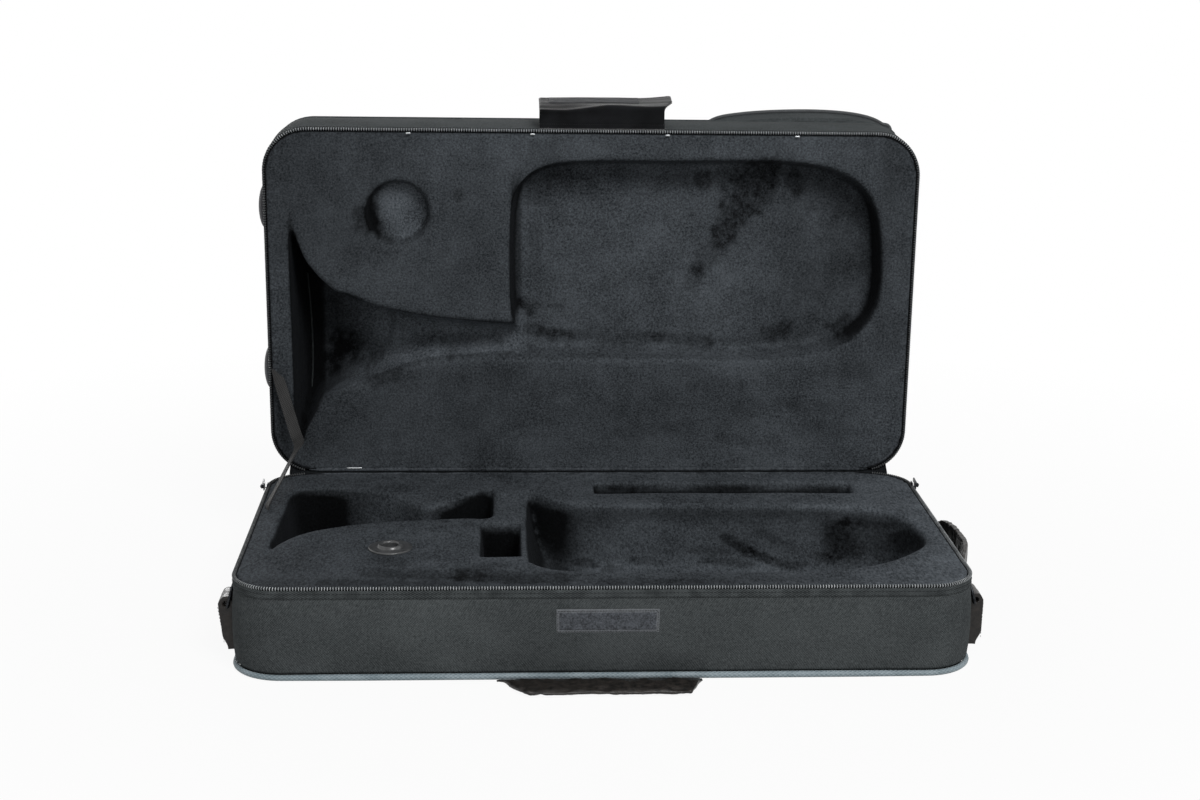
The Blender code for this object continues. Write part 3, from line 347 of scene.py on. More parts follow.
# The wall's section from the floor's edge out and up to the rim, then down inside, as (out, up). The heights of the
# first twelve stations are measured from the floor, and the others from the rim.
FROM_FLOOR = 12
TRAY_SECTION = tenths((
    (-60, 0), (-45, 2), (-34, 8), (-26, 16), (-22, 56), (-14, 64), (-2, 68), (8, 76), (12, 92), (23, 200), (27, 360),
    (22, 560), (3, -100), (-1, -68), (-6, -62), (-18, -60), (-20, -56), (-20, -6), (-22, -1), (-26, -1), (-28, -6),
    (-28, -300),
))


def tray_rows(tall):
    """The tray's section carried round its outline, and the edge of its padded floor inside."""
    stations = [(out, up if number < FROM_FLOOR else tall + up) for number, (out, up) in enumerate(TRAY_SECTION)]
    return [at_height(rim(out, ROUND), height) for out, height in stations + [(-WALL, 0.006)]]


def lined(mesh):
    """Gives the tray's faces from the rim step inwards the rim lining, except the cap under the floor."""
    mesh.materials.append(rim_black)
    inner = np.zeros(len(mesh.polygons), np.int32)
    inner[(FROM_FLOOR + 1) * ROUND:] = 1
    inner[-2] = 0
    mesh.polygons.foreach_set("material_index", inner)


# The base, with two notches under its front edge that make room for the carry handle's ends.
base_cover = piece("base_cover", skin(tray_rows(BASE_TALL)), nylon, None)
lined(base_cover.data)
NOTCH_Y, NOTCH_Z, NOTCH_SIZE = -0.1598, -0.0041, (0.0136, 0.0443, 0.0118)
blocks = bmesh.new()
for middle in (-0.08675, 0.07375):
    block = Matrix.Translation((middle, NOTCH_Y, NOTCH_Z)) @ Matrix.Diagonal((*NOTCH_SIZE, 1))
    bmesh.ops.create_cube(blocks, matrix=block)
notch_mesh = bpy.data.meshes.new("notches")
blocks.to_mesh(notch_mesh)
blocks.free()
notches = set_down("notches", notch_mesh)
base_cover.modifiers.new("notches", "BOOLEAN").object = notches
applied(base_cover)
bpy.data.objects.remove(notches)
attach(base_cover, "base")
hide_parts("base_shell")

lid_rows = [lid_over(row, LID_TALL) for row in tray_rows(LID_TALL)]
lid_cover = piece("lid_cover", skin(lid_rows), nylon, "lid", "nylon", "lid_shell")
lined(lid_cover.data)

# Plush blocks
# Foam blocks covered in short-pile plush, pressed into both halves. Their pockets have rolled lips, steep walls
# and floors that run out softly, because the plush bridges every inside corner.
BLOCK_IN, BLOCK_DROP = 0.0020, 0.0010


def depth_in(x, y, outline):
    """Signed distance of points from a closed outline, positive inside it."""
    outline = np.asarray(outline, float)
    best = np.full(x.shape, 9.0)
    inside = np.zeros(x.shape, bool)
    for (ax, ay), (bx, by) in zip(outline, np.roll(outline, -1, axis=0)):
        dx, dy = bx - ax, by - ay
        t = np.clip(((x - ax) * dx + (y - ay) * dy) / (dx * dx + dy * dy), 0, 1)
        best = np.minimum(best, np.hypot(x - ax - t * dx, y - ay - t * dy))
        if ay != by:
            inside ^= ((ay > y) != (by > y)) & (x < ax + (y - ay) * dx / (by - ay))
    return np.where(inside, best, -best)


def between(a, b, c, d, t):
    """The point at share t of the way from b to c on a smooth line through a, b, c and d."""
    return (2 * b + (c - a) * t + (2 * a - 5 * b + 4 * c - d) * t**2 + (3 * b - a - 3 * c + d) * t**3) / 2


def rounded(points, steps=6):
    """A closed smooth line through points."""
    points = np.asarray(points, float)
    line = []
    for i in range(len(points)):
        four = [points[(i + k) % len(points)] for k in (-1, 0, 1, 2)]
        line += [between(*four, t) for t in np.arange(steps) / steps]
    return np.array(line)


def dip(inside, deep, lip, run):
    """Depth of a pocket at a distance inside its edge: a rolled lip, then a wall that runs out on to the floor."""
    roll = np.clip(inside + lip, 0, lip)
    fall = np.clip(inside / run, 0, 1)
    return lip - np.sqrt(lip * lip - roll * roll) + (deep - lip) * (1 - (1 - fall) ** 3)


def deeper(a, b, soft=0.006):
    """The deeper of two depths, with the crease between them rounded off where both are deep."""
    h = np.clip(soft - np.abs(a - b), 0, None) / soft
    return np.maximum(a, b) + h * h * soft * 0.25 * np.clip(np.minimum(a, b) / 0.004, 0, 1)


def lumpy(x, y, size, seed):
    """Smooth seeded lumps between -1 and 1, about that many metres across."""
    waves = np.random.default_rng(seed)
    total = np.zeros(x.shape)
    for k in range(7):
        angle, phase = waves.uniform(0, 2 * math.pi, 2)
        pitch = size * waves.uniform(0.7, 1.6)
        total += np.sin((x * math.cos(angle) + y * math.sin(angle)) * 2 * math.pi / pitch + phase)
    return total / 4


def remeshed(made, voxel, times):
    """An object remeshed evenly, with its edges softened."""
    even_mesh = made.modifiers.new("even", "REMESH")
    even_mesh.mode = "VOXEL"
    even_mesh.voxel_size = voxel
    soften = made.modifiers.new("soft", "SMOOTH")
    soften.factor, soften.iterations = 0.5, times
    return applied(made)


def plush_block(name, face, thick, voxel=0.0026, grid=0.0016):
    """A block whose face is a height field below its outline, remeshed evenly and closed with a flat back."""
    half_long, half_deep, round_in = LONG / 2 - BLOCK_IN, DEEP / 2 - BLOCK_IN, CORNER - BLOCK_IN
    nx, ny = round(2 * half_long / grid), round(2 * half_deep / grid)
    x, y = np.meshgrid(np.linspace(-half_long, half_long, nx), np.linspace(-half_deep, half_deep, ny))
    low = face(x, y, depth_in(x, y, rim(-BLOCK_IN, 0.004)))
    # Points outside the rounded corners are drawn in to the outline, so the grid keeps its rows.
    cx, cy = LONG / 2 - CORNER, DEEP / 2 - CORNER
    ox, oy = np.abs(x) - cx, np.abs(y) - cy
    far = np.hypot(ox, oy)
    out = (ox > 0) & (oy > 0) & (far > round_in)
    pull = round_in / np.where(out, far, 1)
    x = np.where(out, np.sign(x) * (cx + ox * pull), x)
    y = np.where(out, np.sign(y) * (cy + oy * pull), y)
    top = np.column_stack([x.ravel(), y.ravel(), -low.ravel()])
    back = top.copy()
    back[:, 2] = -thick
    count = nx * ny
    index = np.arange(count).reshape(ny, nx)
    quads = np.stack([index[:-1, :-1], index[:-1, 1:], index[1:, 1:], index[1:, :-1]], axis=-1).reshape(-1, 4)
    loop = np.concatenate([index[0, :-1], index[:-1, -1], index[-1, :0:-1], index[:0:-1, 0]])
    sides = np.stack([loop, loop + count, np.roll(loop, -1) + count, np.roll(loop, -1)], axis=-1)
    faces = np.vstack([quads, quads[:, ::-1] + count, sides])
    mesh = bpy.data.meshes.new(name)
    mesh.from_pydata(np.vstack([top, back]).tolist(), [], faces.tolist())
    made = remeshed(set_down(name, mesh), voxel, 2)
    flat = bmesh.new()
    flat.from_mesh(made.data)
    bmesh.ops.bisect_plane(
        flat, geom=flat.verts[:] + flat.edges[:] + flat.faces[:], clear_outer=True,
        plane_co=(0, 0, -thick + 2 * voxel), plane_no=(0, 0, -1),
    )
    bmesh.ops.holes_fill(flat, edges=[e for e in flat.edges if e.is_boundary])
    flat.to_mesh(made.data)
    flat.free()
    return made


def shares(points, middle=-DEEP / 2):
    """Outline points in metres, from thousandths of the case's length and of its depth from the front or hinge."""
    return [(LONG * (x / 1000), middle + DEEP * (y / 1000)) for x, y in points]


# The base's pockets are set back a little, and both blocks lie on the padding of their tray's floor.
PLUSH_FRONT, BLOCK_LIFT = -DEEP / 2 + 0.004, 0.0063
BELL = rounded(shares((
    (-468, 262), (-464, 440), (-462, 640), (-458, 800), (-430, 846), (-385, 832), (-335, 802), (-292, 748),
    (-254, 662), (-222, 700), (-190, 782), (-158, 832), (-154, 700), (-160, 572), (-200, 566), (-264, 554),
    (-336, 525), (-390, 487), (-430, 430), (-458, 342),
), PLUSH_FRONT))
SADDLE = shares(((-185, 600), (-185, 800), (-85, 800), (-85, 600)), PLUSH_FRONT)
VALVES = rounded(shares((
    (-104, 260), (-96, 190), (-64, 138), (0, 118), (127, 115), (280, 121), (372, 165), (435, 262), (466, 360),
    (463, 500), (437, 614), (380, 656), (250, 664), (80, 666), (-10, 674), (-66, 734), (-96, 800), (-104, 700),
), PLUSH_FRONT))
SQUARE = shares(((-170, 242), (-114, 242), (-114, 510), (-170, 510)), PLUSH_FRONT)
SLOT = shares(((2, 796), (402, 796), (402, 890), (2, 890)), PLUSH_FRONT)
BUSH = shares(((-297, 329),))[0]


def base_face(x, y, edge):
    """Depth of the base block's face below its top: its pockets, and the seat and hole of the mouthpiece bush."""
    low = 0.0006 * lumpy(x, y, 0.09, 4) + 0.0003 - 0.0020 * np.exp(-((edge / 0.005) ** 2))
    for outline, deep, lip, run in (
        (BELL, 0.058, 0.0045, 0.014), (SADDLE, 0.0055, 0.0040, 0.012), (VALVES, 0.060, 0.0055, 0.032),
        (SQUARE, 0.046, 0.0030, 0.006), (SLOT, 0.040, 0.0030, 0.006),
    ):
        low = deeper(low, dip(depth_in(x, y, outline), deep, lip, run))
    around = np.hypot(x - BUSH[0], y - BUSH[1])
    low = low + 0.0018 * np.clip((0.0240 - around) / 0.004, 0, 1)
    return deeper(low, dip(0.0150 - around, 0.040, 0.0010, 0.003))


base_block = plush_block("base_plush", base_face, BASE_TALL - BLOCK_DROP - BLOCK_LIFT)

LID_BELL = rounded(shares((
    (-461, 80), (-445, 134), (-423, 201), (-390, 248), (-330, 300), (-300, 380), (-310, 462), (-384, 519),
    (-434, 604), (-455, 690), (-464, 764), (-464, 400),
)))
LID_CHANNEL = rounded(shares((
    (-400, 262), (-270, 322), (-180, 340), (-60, 341), (20, 360), (20, 480), (-60, 470), (-120, 446), (-240, 460),
    (-330, 490), (-400, 520),
)))
LID_RECESS = rounded(shares((
    (-125, 480), (-128, 700), (-120, 820), (-90, 885), (-30, 912), (120, 915), (300, 915), (385, 882), (432, 800),
    (448, 660), (445, 500), (408, 400), (345, 352), (250, 336), (100, 341), (-20, 341), (-100, 350),
)))
LID_ROUND = shares(((-299, 764),))[0]


def lid_face(x, y, edge):
    """Depth of the lid block's face behind its rim; y runs up from the hinge, from the middle."""
    low = 0.0006 * lumpy(x, y, 0.11, 9) + 0.0006 - 0.0018 * np.exp(-((edge / 0.005) ** 2))
    slope = np.clip((-0.075 - x) / 0.120, 0, 1)
    around = 0.031 - np.hypot(x - LID_ROUND[0], y - LID_ROUND[1])
    for inside, deep, lip, run, soft in (
        (depth_in(x, y, LID_BELL), 0.070, 0.0035, 0.016, 0.006),
        (depth_in(x, y, LID_CHANNEL), 0.030 + 0.030 * slope, 0.0030, 0.024, 0.010),
        (depth_in(x, y, LID_RECESS), 0.032, 0.0030, 0.011, 0.003),
        (around, 0.016, 0.0030, 0.007, 0.003),
    ):
        low = deeper(low, dip(inside, deep, lip, run), soft)
    return low


lid_block = plush_block("lid_plush", lid_face, LID_TALL - BLOCK_DROP - BLOCK_LIFT)


def spots_of(mesh, what="co"):
    """A mesh's points, or their normals, as an array."""
    return np.array([getattr(point, what) for point in mesh.vertices])


def move_spots(mesh, spots):
    """Puts a mesh's points where an array says."""
    mesh.vertices.foreach_set("co", spots.astype(np.float32).ravel())


def store(mesh, name, values):
    """Stores a number for each of a mesh's points, for its material to read."""
    mesh.attributes.new(name, "FLOAT", "POINT").data.foreach_set("value", np.asarray(values, np.float32))


def paint_light_and_shade(mesh, strokes, dark, slant=0.0):
    """Stores painted light and shade on a flat block's points, in two attributes for the plush to read. The first is
    0.5 where neutral, painted darker on steep walls by the way they face and where the map of larger areas says,
    painted lighter where it says so, with a random nap. The second holds the marks: mostly painted shade on walls,
    pocket ends and recess edges, a few painted lighter patches and some brush marks. Each is (x, y, x, y, width) in
    millimetres, y from the front or the hinge, and its change in hundredths."""
    spots, normals = spots_of(mesh), spots_of(mesh, "normal")
    x, y, low = spots[:, 0], spots[:, 1] + DEEP / 2, -spots[:, 2]
    across = y - slant * low
    ruffle = lumpy(x, across, 0.016, 51) * 0.5 + lumpy(x, across, 0.008, 52) * 0.45
    steep = np.clip(1.15 - np.abs(normals[:, 2]) * 1.5, 0, 1)
    backward, leftward, rightward = (np.clip(n, 0, 1) for n in (normals[:, 1], -normals[:, 0], normals[:, 0]))
    # Painted shade: steep walls are painted darker, by the way they face.
    facing_shade = 0.5 - 0.30 * steep * (1 - 0.75 * backward - 0.45 * leftward) - 0.24 * steep * rightward
    marks = np.zeros(len(spots))
    for *line, change in strokes:
        ax, ay, bx, by, wide = (value / 1000 for value in line)
        dx, dy = bx - ax, by - ay
        t = np.clip(((x - ax) * dx + (across - ay) * dy) / max(dx * dx + dy * dy, 1e-9), 0, 1)
        away = np.hypot(x - ax - t * dx, across - ay - t * dy) / wide
        near = np.clip(1.55 - 0.95 * away - 0.40 * ruffle, 0, 1)
        marks = marks + change / 100 * near * near * (3 - 2 * near)
    # The stored values are painted light and shade with a random nap, and the painted marks.
    store(mesh, "pile_and_shade", np.clip(facing_shade + dark(x, y, low) + 0.04 * ruffle, 0, 1))
    store(mesh, "stroke_and_shade", np.clip(marks, -0.42, 0.30))


def step(value, start, end):
    """A smooth step from 0 at start to 1 at end."""
    t = np.clip((value - start) / (end - start), 0, 1)
    return t * t * (3 - 2 * t)


def base_light_and_shade(x, y, low):
    """Painted light and shade on the base's larger areas: a near-black bell end, the dark wedge and pocket ends, a lit
    back wall, the lit right end, and darker and lighter patches on the top and in the valve pocket.
    """
    # Painted shade on the deep ends of the pockets, once they are deep enough.
    bell = step(x, -0.232, -0.262) * step(y, 0.110, 0.160) * 0.76
    wedge = step(x + 0.4 * (y - 0.246), -0.158, -0.142) * step(x, -0.080, -0.096) * step(y, 0.185, 0.215) * 0.62
    valves = step(x, -0.078, -0.064) * step(x, -0.008, -0.036) * step(y, 0.040, 0.110) * 0.36
    square = step(x, -0.116, -0.106) * step(x, -0.068, -0.078) * step(y, 0.070, 0.085) * step(y, 0.190, 0.176) * 0.40
    slot = step(x, -0.006, 0.004) * step(x, 0.264, 0.254) * step(y, 0.262, 0.272) * 0.20
    deep = (bell + wedge + valves + square + slot) * step(low, 0.005, 0.014)
    # Painted light on the back wall of the bell pocket.
    back_wall = (
        0.26 * step(x, -0.232, -0.196) * step(x, -0.118, -0.142) * step(y, 0.215, 0.255) * step(low, 0.0015, 0.005)
    )
    # Painted light on the right end of the top, and painted shade on its rear, its left and its front right.
    top = (
        0.36 * step(x, 0.160, 0.300) - 0.06 * step(y, 0.235, 0.290) - 0.07 * step(x, 0.0, -0.250)
        - 0.13 * step(y, 0.050, 0.015) * step(x, 0.160, 0.060)
    )
    # Painted light on the valve pocket's floor, and painted shade at the foot of the deepest part.
    floor = 0.12 * step(x, -0.010, 0.030) * step(x, 0.235, 0.205) * step(low, 0.008, 0.020) * step(y, 0.250, 0.236)
    foot = 0.08 * step(x, -0.010, 0.030) * step(low, 0.024, 0.040) * step(y, 0.200, 0.240)
    return top * step(low, 0.008, 0.004) + floor + back_wall - deep - foot


def lid_light_and_shade(x, y, low):
    """Painted light and shade on the lid's larger areas: painted shade at the bell pocket's deep end and on its wall,
    painted light and shade in patches on the top level, painted light in a paler channel, a painted shade line along a
    crease, and painted shade on the edges of both recesses."""
    # Painted shade at the bell pocket's deep end and on its left wall.
    bell = step(x, -0.226, -0.262) * 0.32 * step(low, 0.016, 0.034)
    wall = step(x, -0.268, -0.280) * 0.66 * step(low, 0.0020, 0.0050)
    # Painted light at the lower right of the top level, and painted shade in patches elsewhere on it.
    level = step(low, 0.0045, 0.0025) * (
        0.07 * step(x, 0.10, 0.20) * step(y, 0.110, 0.070) - 0.06 * step(x, -0.06, -0.14)
        - 0.10 * step(x, -0.14, -0.22) * step(y, 0.180, 0.230)
        - 0.07 * step(x, 0.060, -0.040) * step(y, 0.120, 0.090)
        - 0.10 * step(x, 0.276, 0.290) * step(y, 0.110, 0.150)
    ) - 0.11 * step(low, 0.016, 0.026) * step(x, 0.150, 0.210)
    # Painted light in the channel; below it, a painted shade line along a crease.
    channel = 0.67 * step(x, -0.240, -0.180) * step(x, -0.060, -0.090) * step(low, 0.010, 0.020)
    crease = (
        0.62 * step(x, -0.0830, -0.0790) * step(x, -0.0670, -0.0740) * step(y, 0.152, 0.166) * step(y, 0.312, 0.262)
    )
    # Painted shade on the far edge of the large recess, and in crescents round the round recess.
    far_side = np.exp(-(((depth_in(x, y - DEEP / 2, LID_RECESS) - 0.0022) / 0.0030) ** 2))
    rolled = 0.46 * step(x, 0.225, 0.262) * far_side * step(y, 0.112, 0.150) * step(y, 0.316, 0.250)
    from_x, from_y = x - LID_ROUND[0], y - DEEP / 2 - LID_ROUND[1]
    around = np.hypot(from_x, from_y)
    turn, rise = from_x / np.maximum(around, 0.001), from_y / np.maximum(around, 0.001)
    moon = np.clip(-0.96 * turn - 0.28 * rise, 0, 1)
    uneven = around + 0.0016 * lumpy(x, y, 0.009, 61)
    ringed = np.exp(-(((uneven - 0.0275 + 0.0035 * moon) / (0.0018 + 0.0048 * moon)) ** 2))
    ringed = ringed * (0.66 * moon ** 1.3 + 0.22 * np.clip(0.9 * turn - 0.4 * rise, 0, 1))
    return level + channel - bell - wall - crease - rolled - ringed


# Painted marks on the lid, then the base: mostly painted shade on walls, pocket ends and recess edges, with a few
# painted lighter patches and some brush marks.
paint_light_and_shade(lid_block.data, (
    (168, 300, 152, 272, 17, -36), (152, 272, 132, 238, 13, -36), (132, 238, 112, 206, 10, -28),
    (108, 200, 101, 188, 7, -26), (160, 299, 110, 292, 8, -24), (110, 292, 70, 288, 7, -18),
    (190, 300, 240, 270, 16, -10), (200, 300, 205, 283, 6, -20), (198, 141, 182, 136, 8, -30),
    (250, 142, 262, 150, 7, -26), (225, 190, 262, 215, 20, -10), (240, 240, 262, 262, 12, -10),
    (-144, 124, -116, 127, 7, -34), (-96, 130, -84, 128, 8, -34), (-62, 141, -24, 131, 6, -26),
    (10, 129, 68, 130, 5, -18), (68, 132, 120, 128, 6, -28), (120, 128, 160, 127, 4, -14),
    (-50, 138, 0, 134, 4, -20), (0, 140, 60, 136, 4, -12), (150, 66, 205, 68, 8, -14), (205, 70, 262, 66, 8, -13),
    (215, 45, 262, 42, 9, -15), (130, 34, 190, 30, 5, -12), (100, 90, 150, 92, 6, -12), (240, 100, 275, 104, 8, -12),
    (-40, 60, 80, 72, 10, -6), (30, 40, 100, 46, 6, -10), (-54, 285, -49, 314, 18, -14),
    (-34, 295, -4, 281, 12, -14), (26, 295, 50, 292, 8, -10), (-60, 240, -56, 200, 8, -12),
    (-133, 281, -132, 277, 4, -24), (-68, 167, -62, 158, 5, -40), (-62, 164, -30, 163, 3, -16),
    (-225, 262, -222, 250, 8, -22), (0, 230, 110, 180, 55, 9), (-190, 262, -186, 256, 12, 14),
    (282, 330, 290, 300, 16, -10), (-250, 120, -225, 112, 13, -20), (-215, 98, -200, 104, 9, -22),
    (-262, 97, -240, 117, 9, -20), (-214, 132, -190, 128, 10, 10),
), lid_light_and_shade)
paint_light_and_shade(base_block.data, (
    (-198, 84, -179, 62, 9, -16), (-200, 40, -120, 34, 12, -22), (-120, 30, -40, 24, 12, -26),
    (-122, 46, -100, 58, 10, -20), (0, 14, 100, 12, 9, -16), (-240, 16, -130, 10, 7, -14),
    (130, 22, 180, 20, 6, -10), (-60, 45, -40, 32, 6, -14), (-12, 98, -6, 90, 9, -30), (14, 82, 18, 78, 8, -28),
    (125, 158, 150, 118, 7, -34), (150, 118, 187, 81, 8, -38), (112, 100, 142, 89, 9, -30),
    (189, 83, 200, 90, 7, -30), (220, 108, 226, 100, 8, -28), (236, 180, 240, 120, 15, -24),
    (250, 193, 274, 180, 9, -20), (290, 150, 297, 118, 10, -32), (98, 127, 125, 120, 8, -20),
    (40, 99, 60, 92, 9, -18), (160, 170, 180, 140, 6, -20), (60, 170, 100, 150, 24, 10), (0, 160, 30, 140, 20, 8),
    (200, 150, 215, 130, 9, 8), (20, 297, 40, 294, 5, -16), (70, 297, 90, 296, 5, 16), (120, 295, 150, 296, 6, -14),
    (180, 297, 200, 296, 5, 14), (230, 296, 245, 296, 6, -12), (270, 161, 276, 117, 7, -10),
), base_light_and_shade, 2.3)
base_block.data.transform(Matrix.Translation((0, 0, BASE_TALL - 0.0002)))
flat = spots_of(lid_block.data)
flat = np.column_stack([flat[:, 0], flat[:, 1] + DEEP / 2, BLOCK_DROP - flat[:, 2]])
move_spots(lid_block.data, stand_up(flat))
lid_block.data.flip_normals()

# Short-pile plush: deep blue-grey pile with a soft sheen where it is seen edge on, in lighter and darker patches that
# # are painted light and shade stored on the blocks' points, with painted marks and a random nap. Single tufts are
# finer
# # than the picture, so they are drawn as 1 mm specks, longer from front to back.
TUFT = (1.0, 0.42, 1.0)
plush, tree = empty_material("brushed_plush")
specks = clouds(tree, (0.26, 0.05, 4.0, 0.6), (0.62, 0.0021, 3.0, 0.85, TUFT))
nap_and_shade = add_node(tree, "ShaderNodeAttribute", attribute_name="pile_and_shade").outputs["Fac"]
painted_marks = add_node(tree, "ShaderNodeAttribute", attribute_name="stroke_and_shade").outputs["Fac"]
frayed = add_node(tree, "ShaderNodeMapRange", {
    "Value": cloud(tree, 0.0050, 5.0, 0.80, TUFT), "From Min": 0.38, "From Max": 0.62, "To Min": 0.48, "To Max": 1.08,
})
nap_and_shade = add_node(tree, "ShaderNodeMath", {0: painted_marks, 1: frayed, 2: nap_and_shade}, operation="MULTIPLY_ADD")
# A ramp turns the painted light and shade into a darkening of the colour, near black at its low end.
depth = add_node(tree, "ShaderNodeValToRGB", {0: nap_and_shade})
stops = depth.color_ramp.elements
for stop, at, level in ((stops[0], 0.0, 0.03), (stops.new(0.5), 0.5, 0.62), (stops[-1], 1.0, 1.0)):
    stop.position, stop.color = at, (level, level, level, 1)
darkened = add_node(tree, "ShaderNodeMix", {
    "Factor": 1.0, "A": blend_colours(tree, specks, "#202326", "#696f75", 0.31, 0.59), "B": depth,
}, data_type="RGBA", blend_type="MULTIPLY")
tufts = add_node(tree, "ShaderNodeBump", {
    "Strength": 0.6, "Distance": 0.0012, "Height": cloud(tree, 0.0018, 3.0, 0.7),
})
clumps = add_node(tree, "ShaderNodeBump", {
    "Strength": 0.4, "Distance": 0.004, "Height": cloud(tree, 0.016, 2.0), "Normal": tufts,
})
surface(
    tree, Roughness=0.95, Sheen_Weight=0.03, Sheen_Roughness=0.5, Sheen_Tint=colour("#9aa2ad"),
    Specular_IOR_Level=0.05, Base_Color=darkened.outputs["Result"], Normal=clumps,
)

for block, body, node in ((base_block, "base", "base_insert"), (lid_block, "lid", "lid_insert")):
    block.data.shade_smooth()
    dress(block, plush, body, "plush", node)

# Lining seam
# The two pieces of lining meet on the floor of the lid's bell pocket, in a raised seam taped over with ribbon. The
# ribbon lies along the pocket's floor from near the hinge up past the middle, in a slight bow.


def tube_skin(path, radius, sides=10, join=False, start=(0.0, 0.0, 1.0)):
    """A round tube along a line of points; radius is one number or one for each point."""
    path = np.asarray(path, float)
    radius = np.broadcast_to(radius, len(path))
    ahead = np.roll(path, -1, axis=0) - np.roll(path, 1, axis=0) if join else np.gradient(path, axis=0)
    ahead = ahead / np.linalg.norm(ahead, axis=1)[:, None]
    side = np.array(start, float)
    turn = np.linspace(0, 2 * math.pi, sides, endpoint=False)[:, None]
    rows = []
    for k, spot in enumerate(path):
        side = side - ahead[k] * side.dot(ahead[k])
        side = side / np.linalg.norm(side)
        other = np.cross(ahead[k], side)
        rows.append(spot + radius[k] * (np.cos(turn) * side + np.sin(turn) * other))
    return skin(rows, join)


# Satin ribbon over a seam: a little paler and smoother than the plush round it.
ribbon_cloth, tree = empty_material("satin_ribbon")
satin = blend_colours(tree, cloud(tree, 0.004), "#1a1d1e", "#2b3030")
surface(tree, Roughness=0.5, Sheen_Weight=0.1, Specular_IOR_Level=0.08, Base_Color=satin)

SEAM_UP, SEAM_X = (0.046, 0.059, 0.101, 0.163, 0.190), (-0.2890, -0.2872, -0.2838, -0.2850, -0.2866)
seam_up = np.linspace(SEAM_UP[0], SEAM_UP[-1], 40)
seam_x = np.polyval(np.polyfit(SEAM_UP, SEAM_X, 3), seam_up)
seam_low = lid_face(seam_x, seam_up - DEEP / 2, np.full(40, 0.03)) + BLOCK_DROP
seam_line = stand_up(np.column_stack([seam_x, seam_up, seam_low - 0.0012]))
piece("lid_lining_seam", tube_skin(seam_line, 0.0008, 8), ribbon_cloth, "lid", "plush")

# Zip
# A number 5 coil zip runs round the open edge of both halves: woven polyester tape sewn on in two rows of
# stitches, and a coil whose turns catch the light as fine ticks. Both stop short of the hinge.
ZIP_END = 15.0


def string_tree(name, ring):
    """A node tree that sets beads along a curve: rings across it for a coil, or short grains along it for stitches."""
    tree = bpy.data.node_groups.new(name, "GeometryNodeTree")
    tree.interface.new_socket("Line", in_out="INPUT", socket_type="NodeSocketGeometry")
    for word in ("Pitch", "Width", "Length"):
        tree.interface.new_socket(word, in_out="INPUT", socket_type="NodeSocketFloat")
    tree.interface.new_socket("Finish", in_out="INPUT", socket_type="NodeSocketMaterial")
    tree.interface.new_socket("Beads", in_out="OUTPUT", socket_type="NodeSocketGeometry")
    given = add_node(tree, "NodeGroupInput").outputs
    spacing = {"Curve": given["Line"], "Length": given["Pitch"]}
    stops = add_node(tree, "GeometryNodeResampleCurve", spacing, mode="LENGTH")
    along = add_node(tree, "GeometryNodeInputTangent")
    facing = add_node(tree, "FunctionNodeAlignRotationToVector", {"Vector": along}, axis="Z")
    if ring:
        loop = add_node(tree, "GeometryNodeCurvePrimitiveCircle", {"Resolution": 10, "Radius": given["Width"]})
        wire = add_node(tree, "GeometryNodeCurvePrimitiveCircle", {"Resolution": 5, "Radius": given["Length"]})
        bead = add_node(tree, "GeometryNodeCurveToMesh", {"Curve": loop, "Profile Curve": wire})
    else:
        bead = add_node(tree, "GeometryNodeMeshUVSphere", {"Segments": 6, "Rings": 5, "Radius": 1.0})
    put = add_node(tree, "GeometryNodeInstanceOnPoints", {"Points": stops, "Instance": bead, "Rotation": facing})
    if not ring:
        size = add_node(tree, "ShaderNodeCombineXYZ", {0: given["Width"], 1: given["Width"], 2: given["Length"]})
        tree.links.new(size.outputs[0], put.inputs["Scale"])
    solid = add_node(tree, "GeometryNodeRealizeInstances", {0: put})
    smooth = add_node(tree, "GeometryNodeSetShadeSmooth", {0: solid})
    coated = add_node(tree, "GeometryNodeSetMaterial", {"Geometry": smooth, "Material": given["Finish"]})
    add_node(tree, "NodeGroupOutput", {"Beads": coated})
    return tree


RINGS = string_tree("coil_turns", True)
GRAINS = string_tree("stitches", False)


def strung(name, tree, lines, sizes, finish, body, slot=None, *replaced, closed=False):
    """A plain mesh of beads set along lines of points; the sizes are the tree's pitch, width and length."""
    curve = bpy.data.curves.new(name, "CURVE")
    curve.dimensions = "3D"
    for points in lines:
        spline = curve.splines.new("POLY")
        spline.points.add(len(points) - 1)
        spline.points.foreach_set("co", at_height(points, 1).astype(np.float32).ravel())
        spline.use_cyclic_u = closed
    holder = set_down(name + "_line", curve)
    setter = holder.modifiers.new("beads", "NODES")
    setter.node_group = tree
    given = dict(zip(("Pitch", "Width", "Length"), sizes), Finish=finish)
    for item in tree.interface.items_tree:
        if item.in_out == "INPUT" and item.name in given:
            setter[item.identifier] = given[item.name]
    graph = bpy.context.evaluated_depsgraph_get()
    mesh = bpy.data.meshes.new_from_object(holder.evaluated_get(graph), depsgraph=graph)
    bpy.data.objects.remove(holder)
    return piece(name, mesh, finish, body, slot, *replaced)


def band_rows(section, count, opening):
    """A section of (out, up) points carried along the rim."""
    return np.stack([at_height(rim(out, count, opening), up) for out, up in section], axis=1)


def woven_cloth(name, spacing, share, blotches, low, high, strength, distance, **inputs):
    """A woven material. Its threads, spaced across and along, stand up by a strength and a distance, and tint the
    blotchy colour by their share."""
    made, tree = empty_material(name)
    threads = weave(tree, *spacing)
    shade = {0: threads, 1: share, 2: cloud(tree, *blotches)}
    shade = add_node(tree, "ShaderNodeMath", shade, operation="MULTIPLY_ADD")
    bump = add_node(tree, "ShaderNodeBump", {"Strength": strength, "Distance": distance, "Height": threads})
    surface(tree, Base_Color=blend_colours(tree, shade, low, high), Normal=bump, **inputs)
    return made


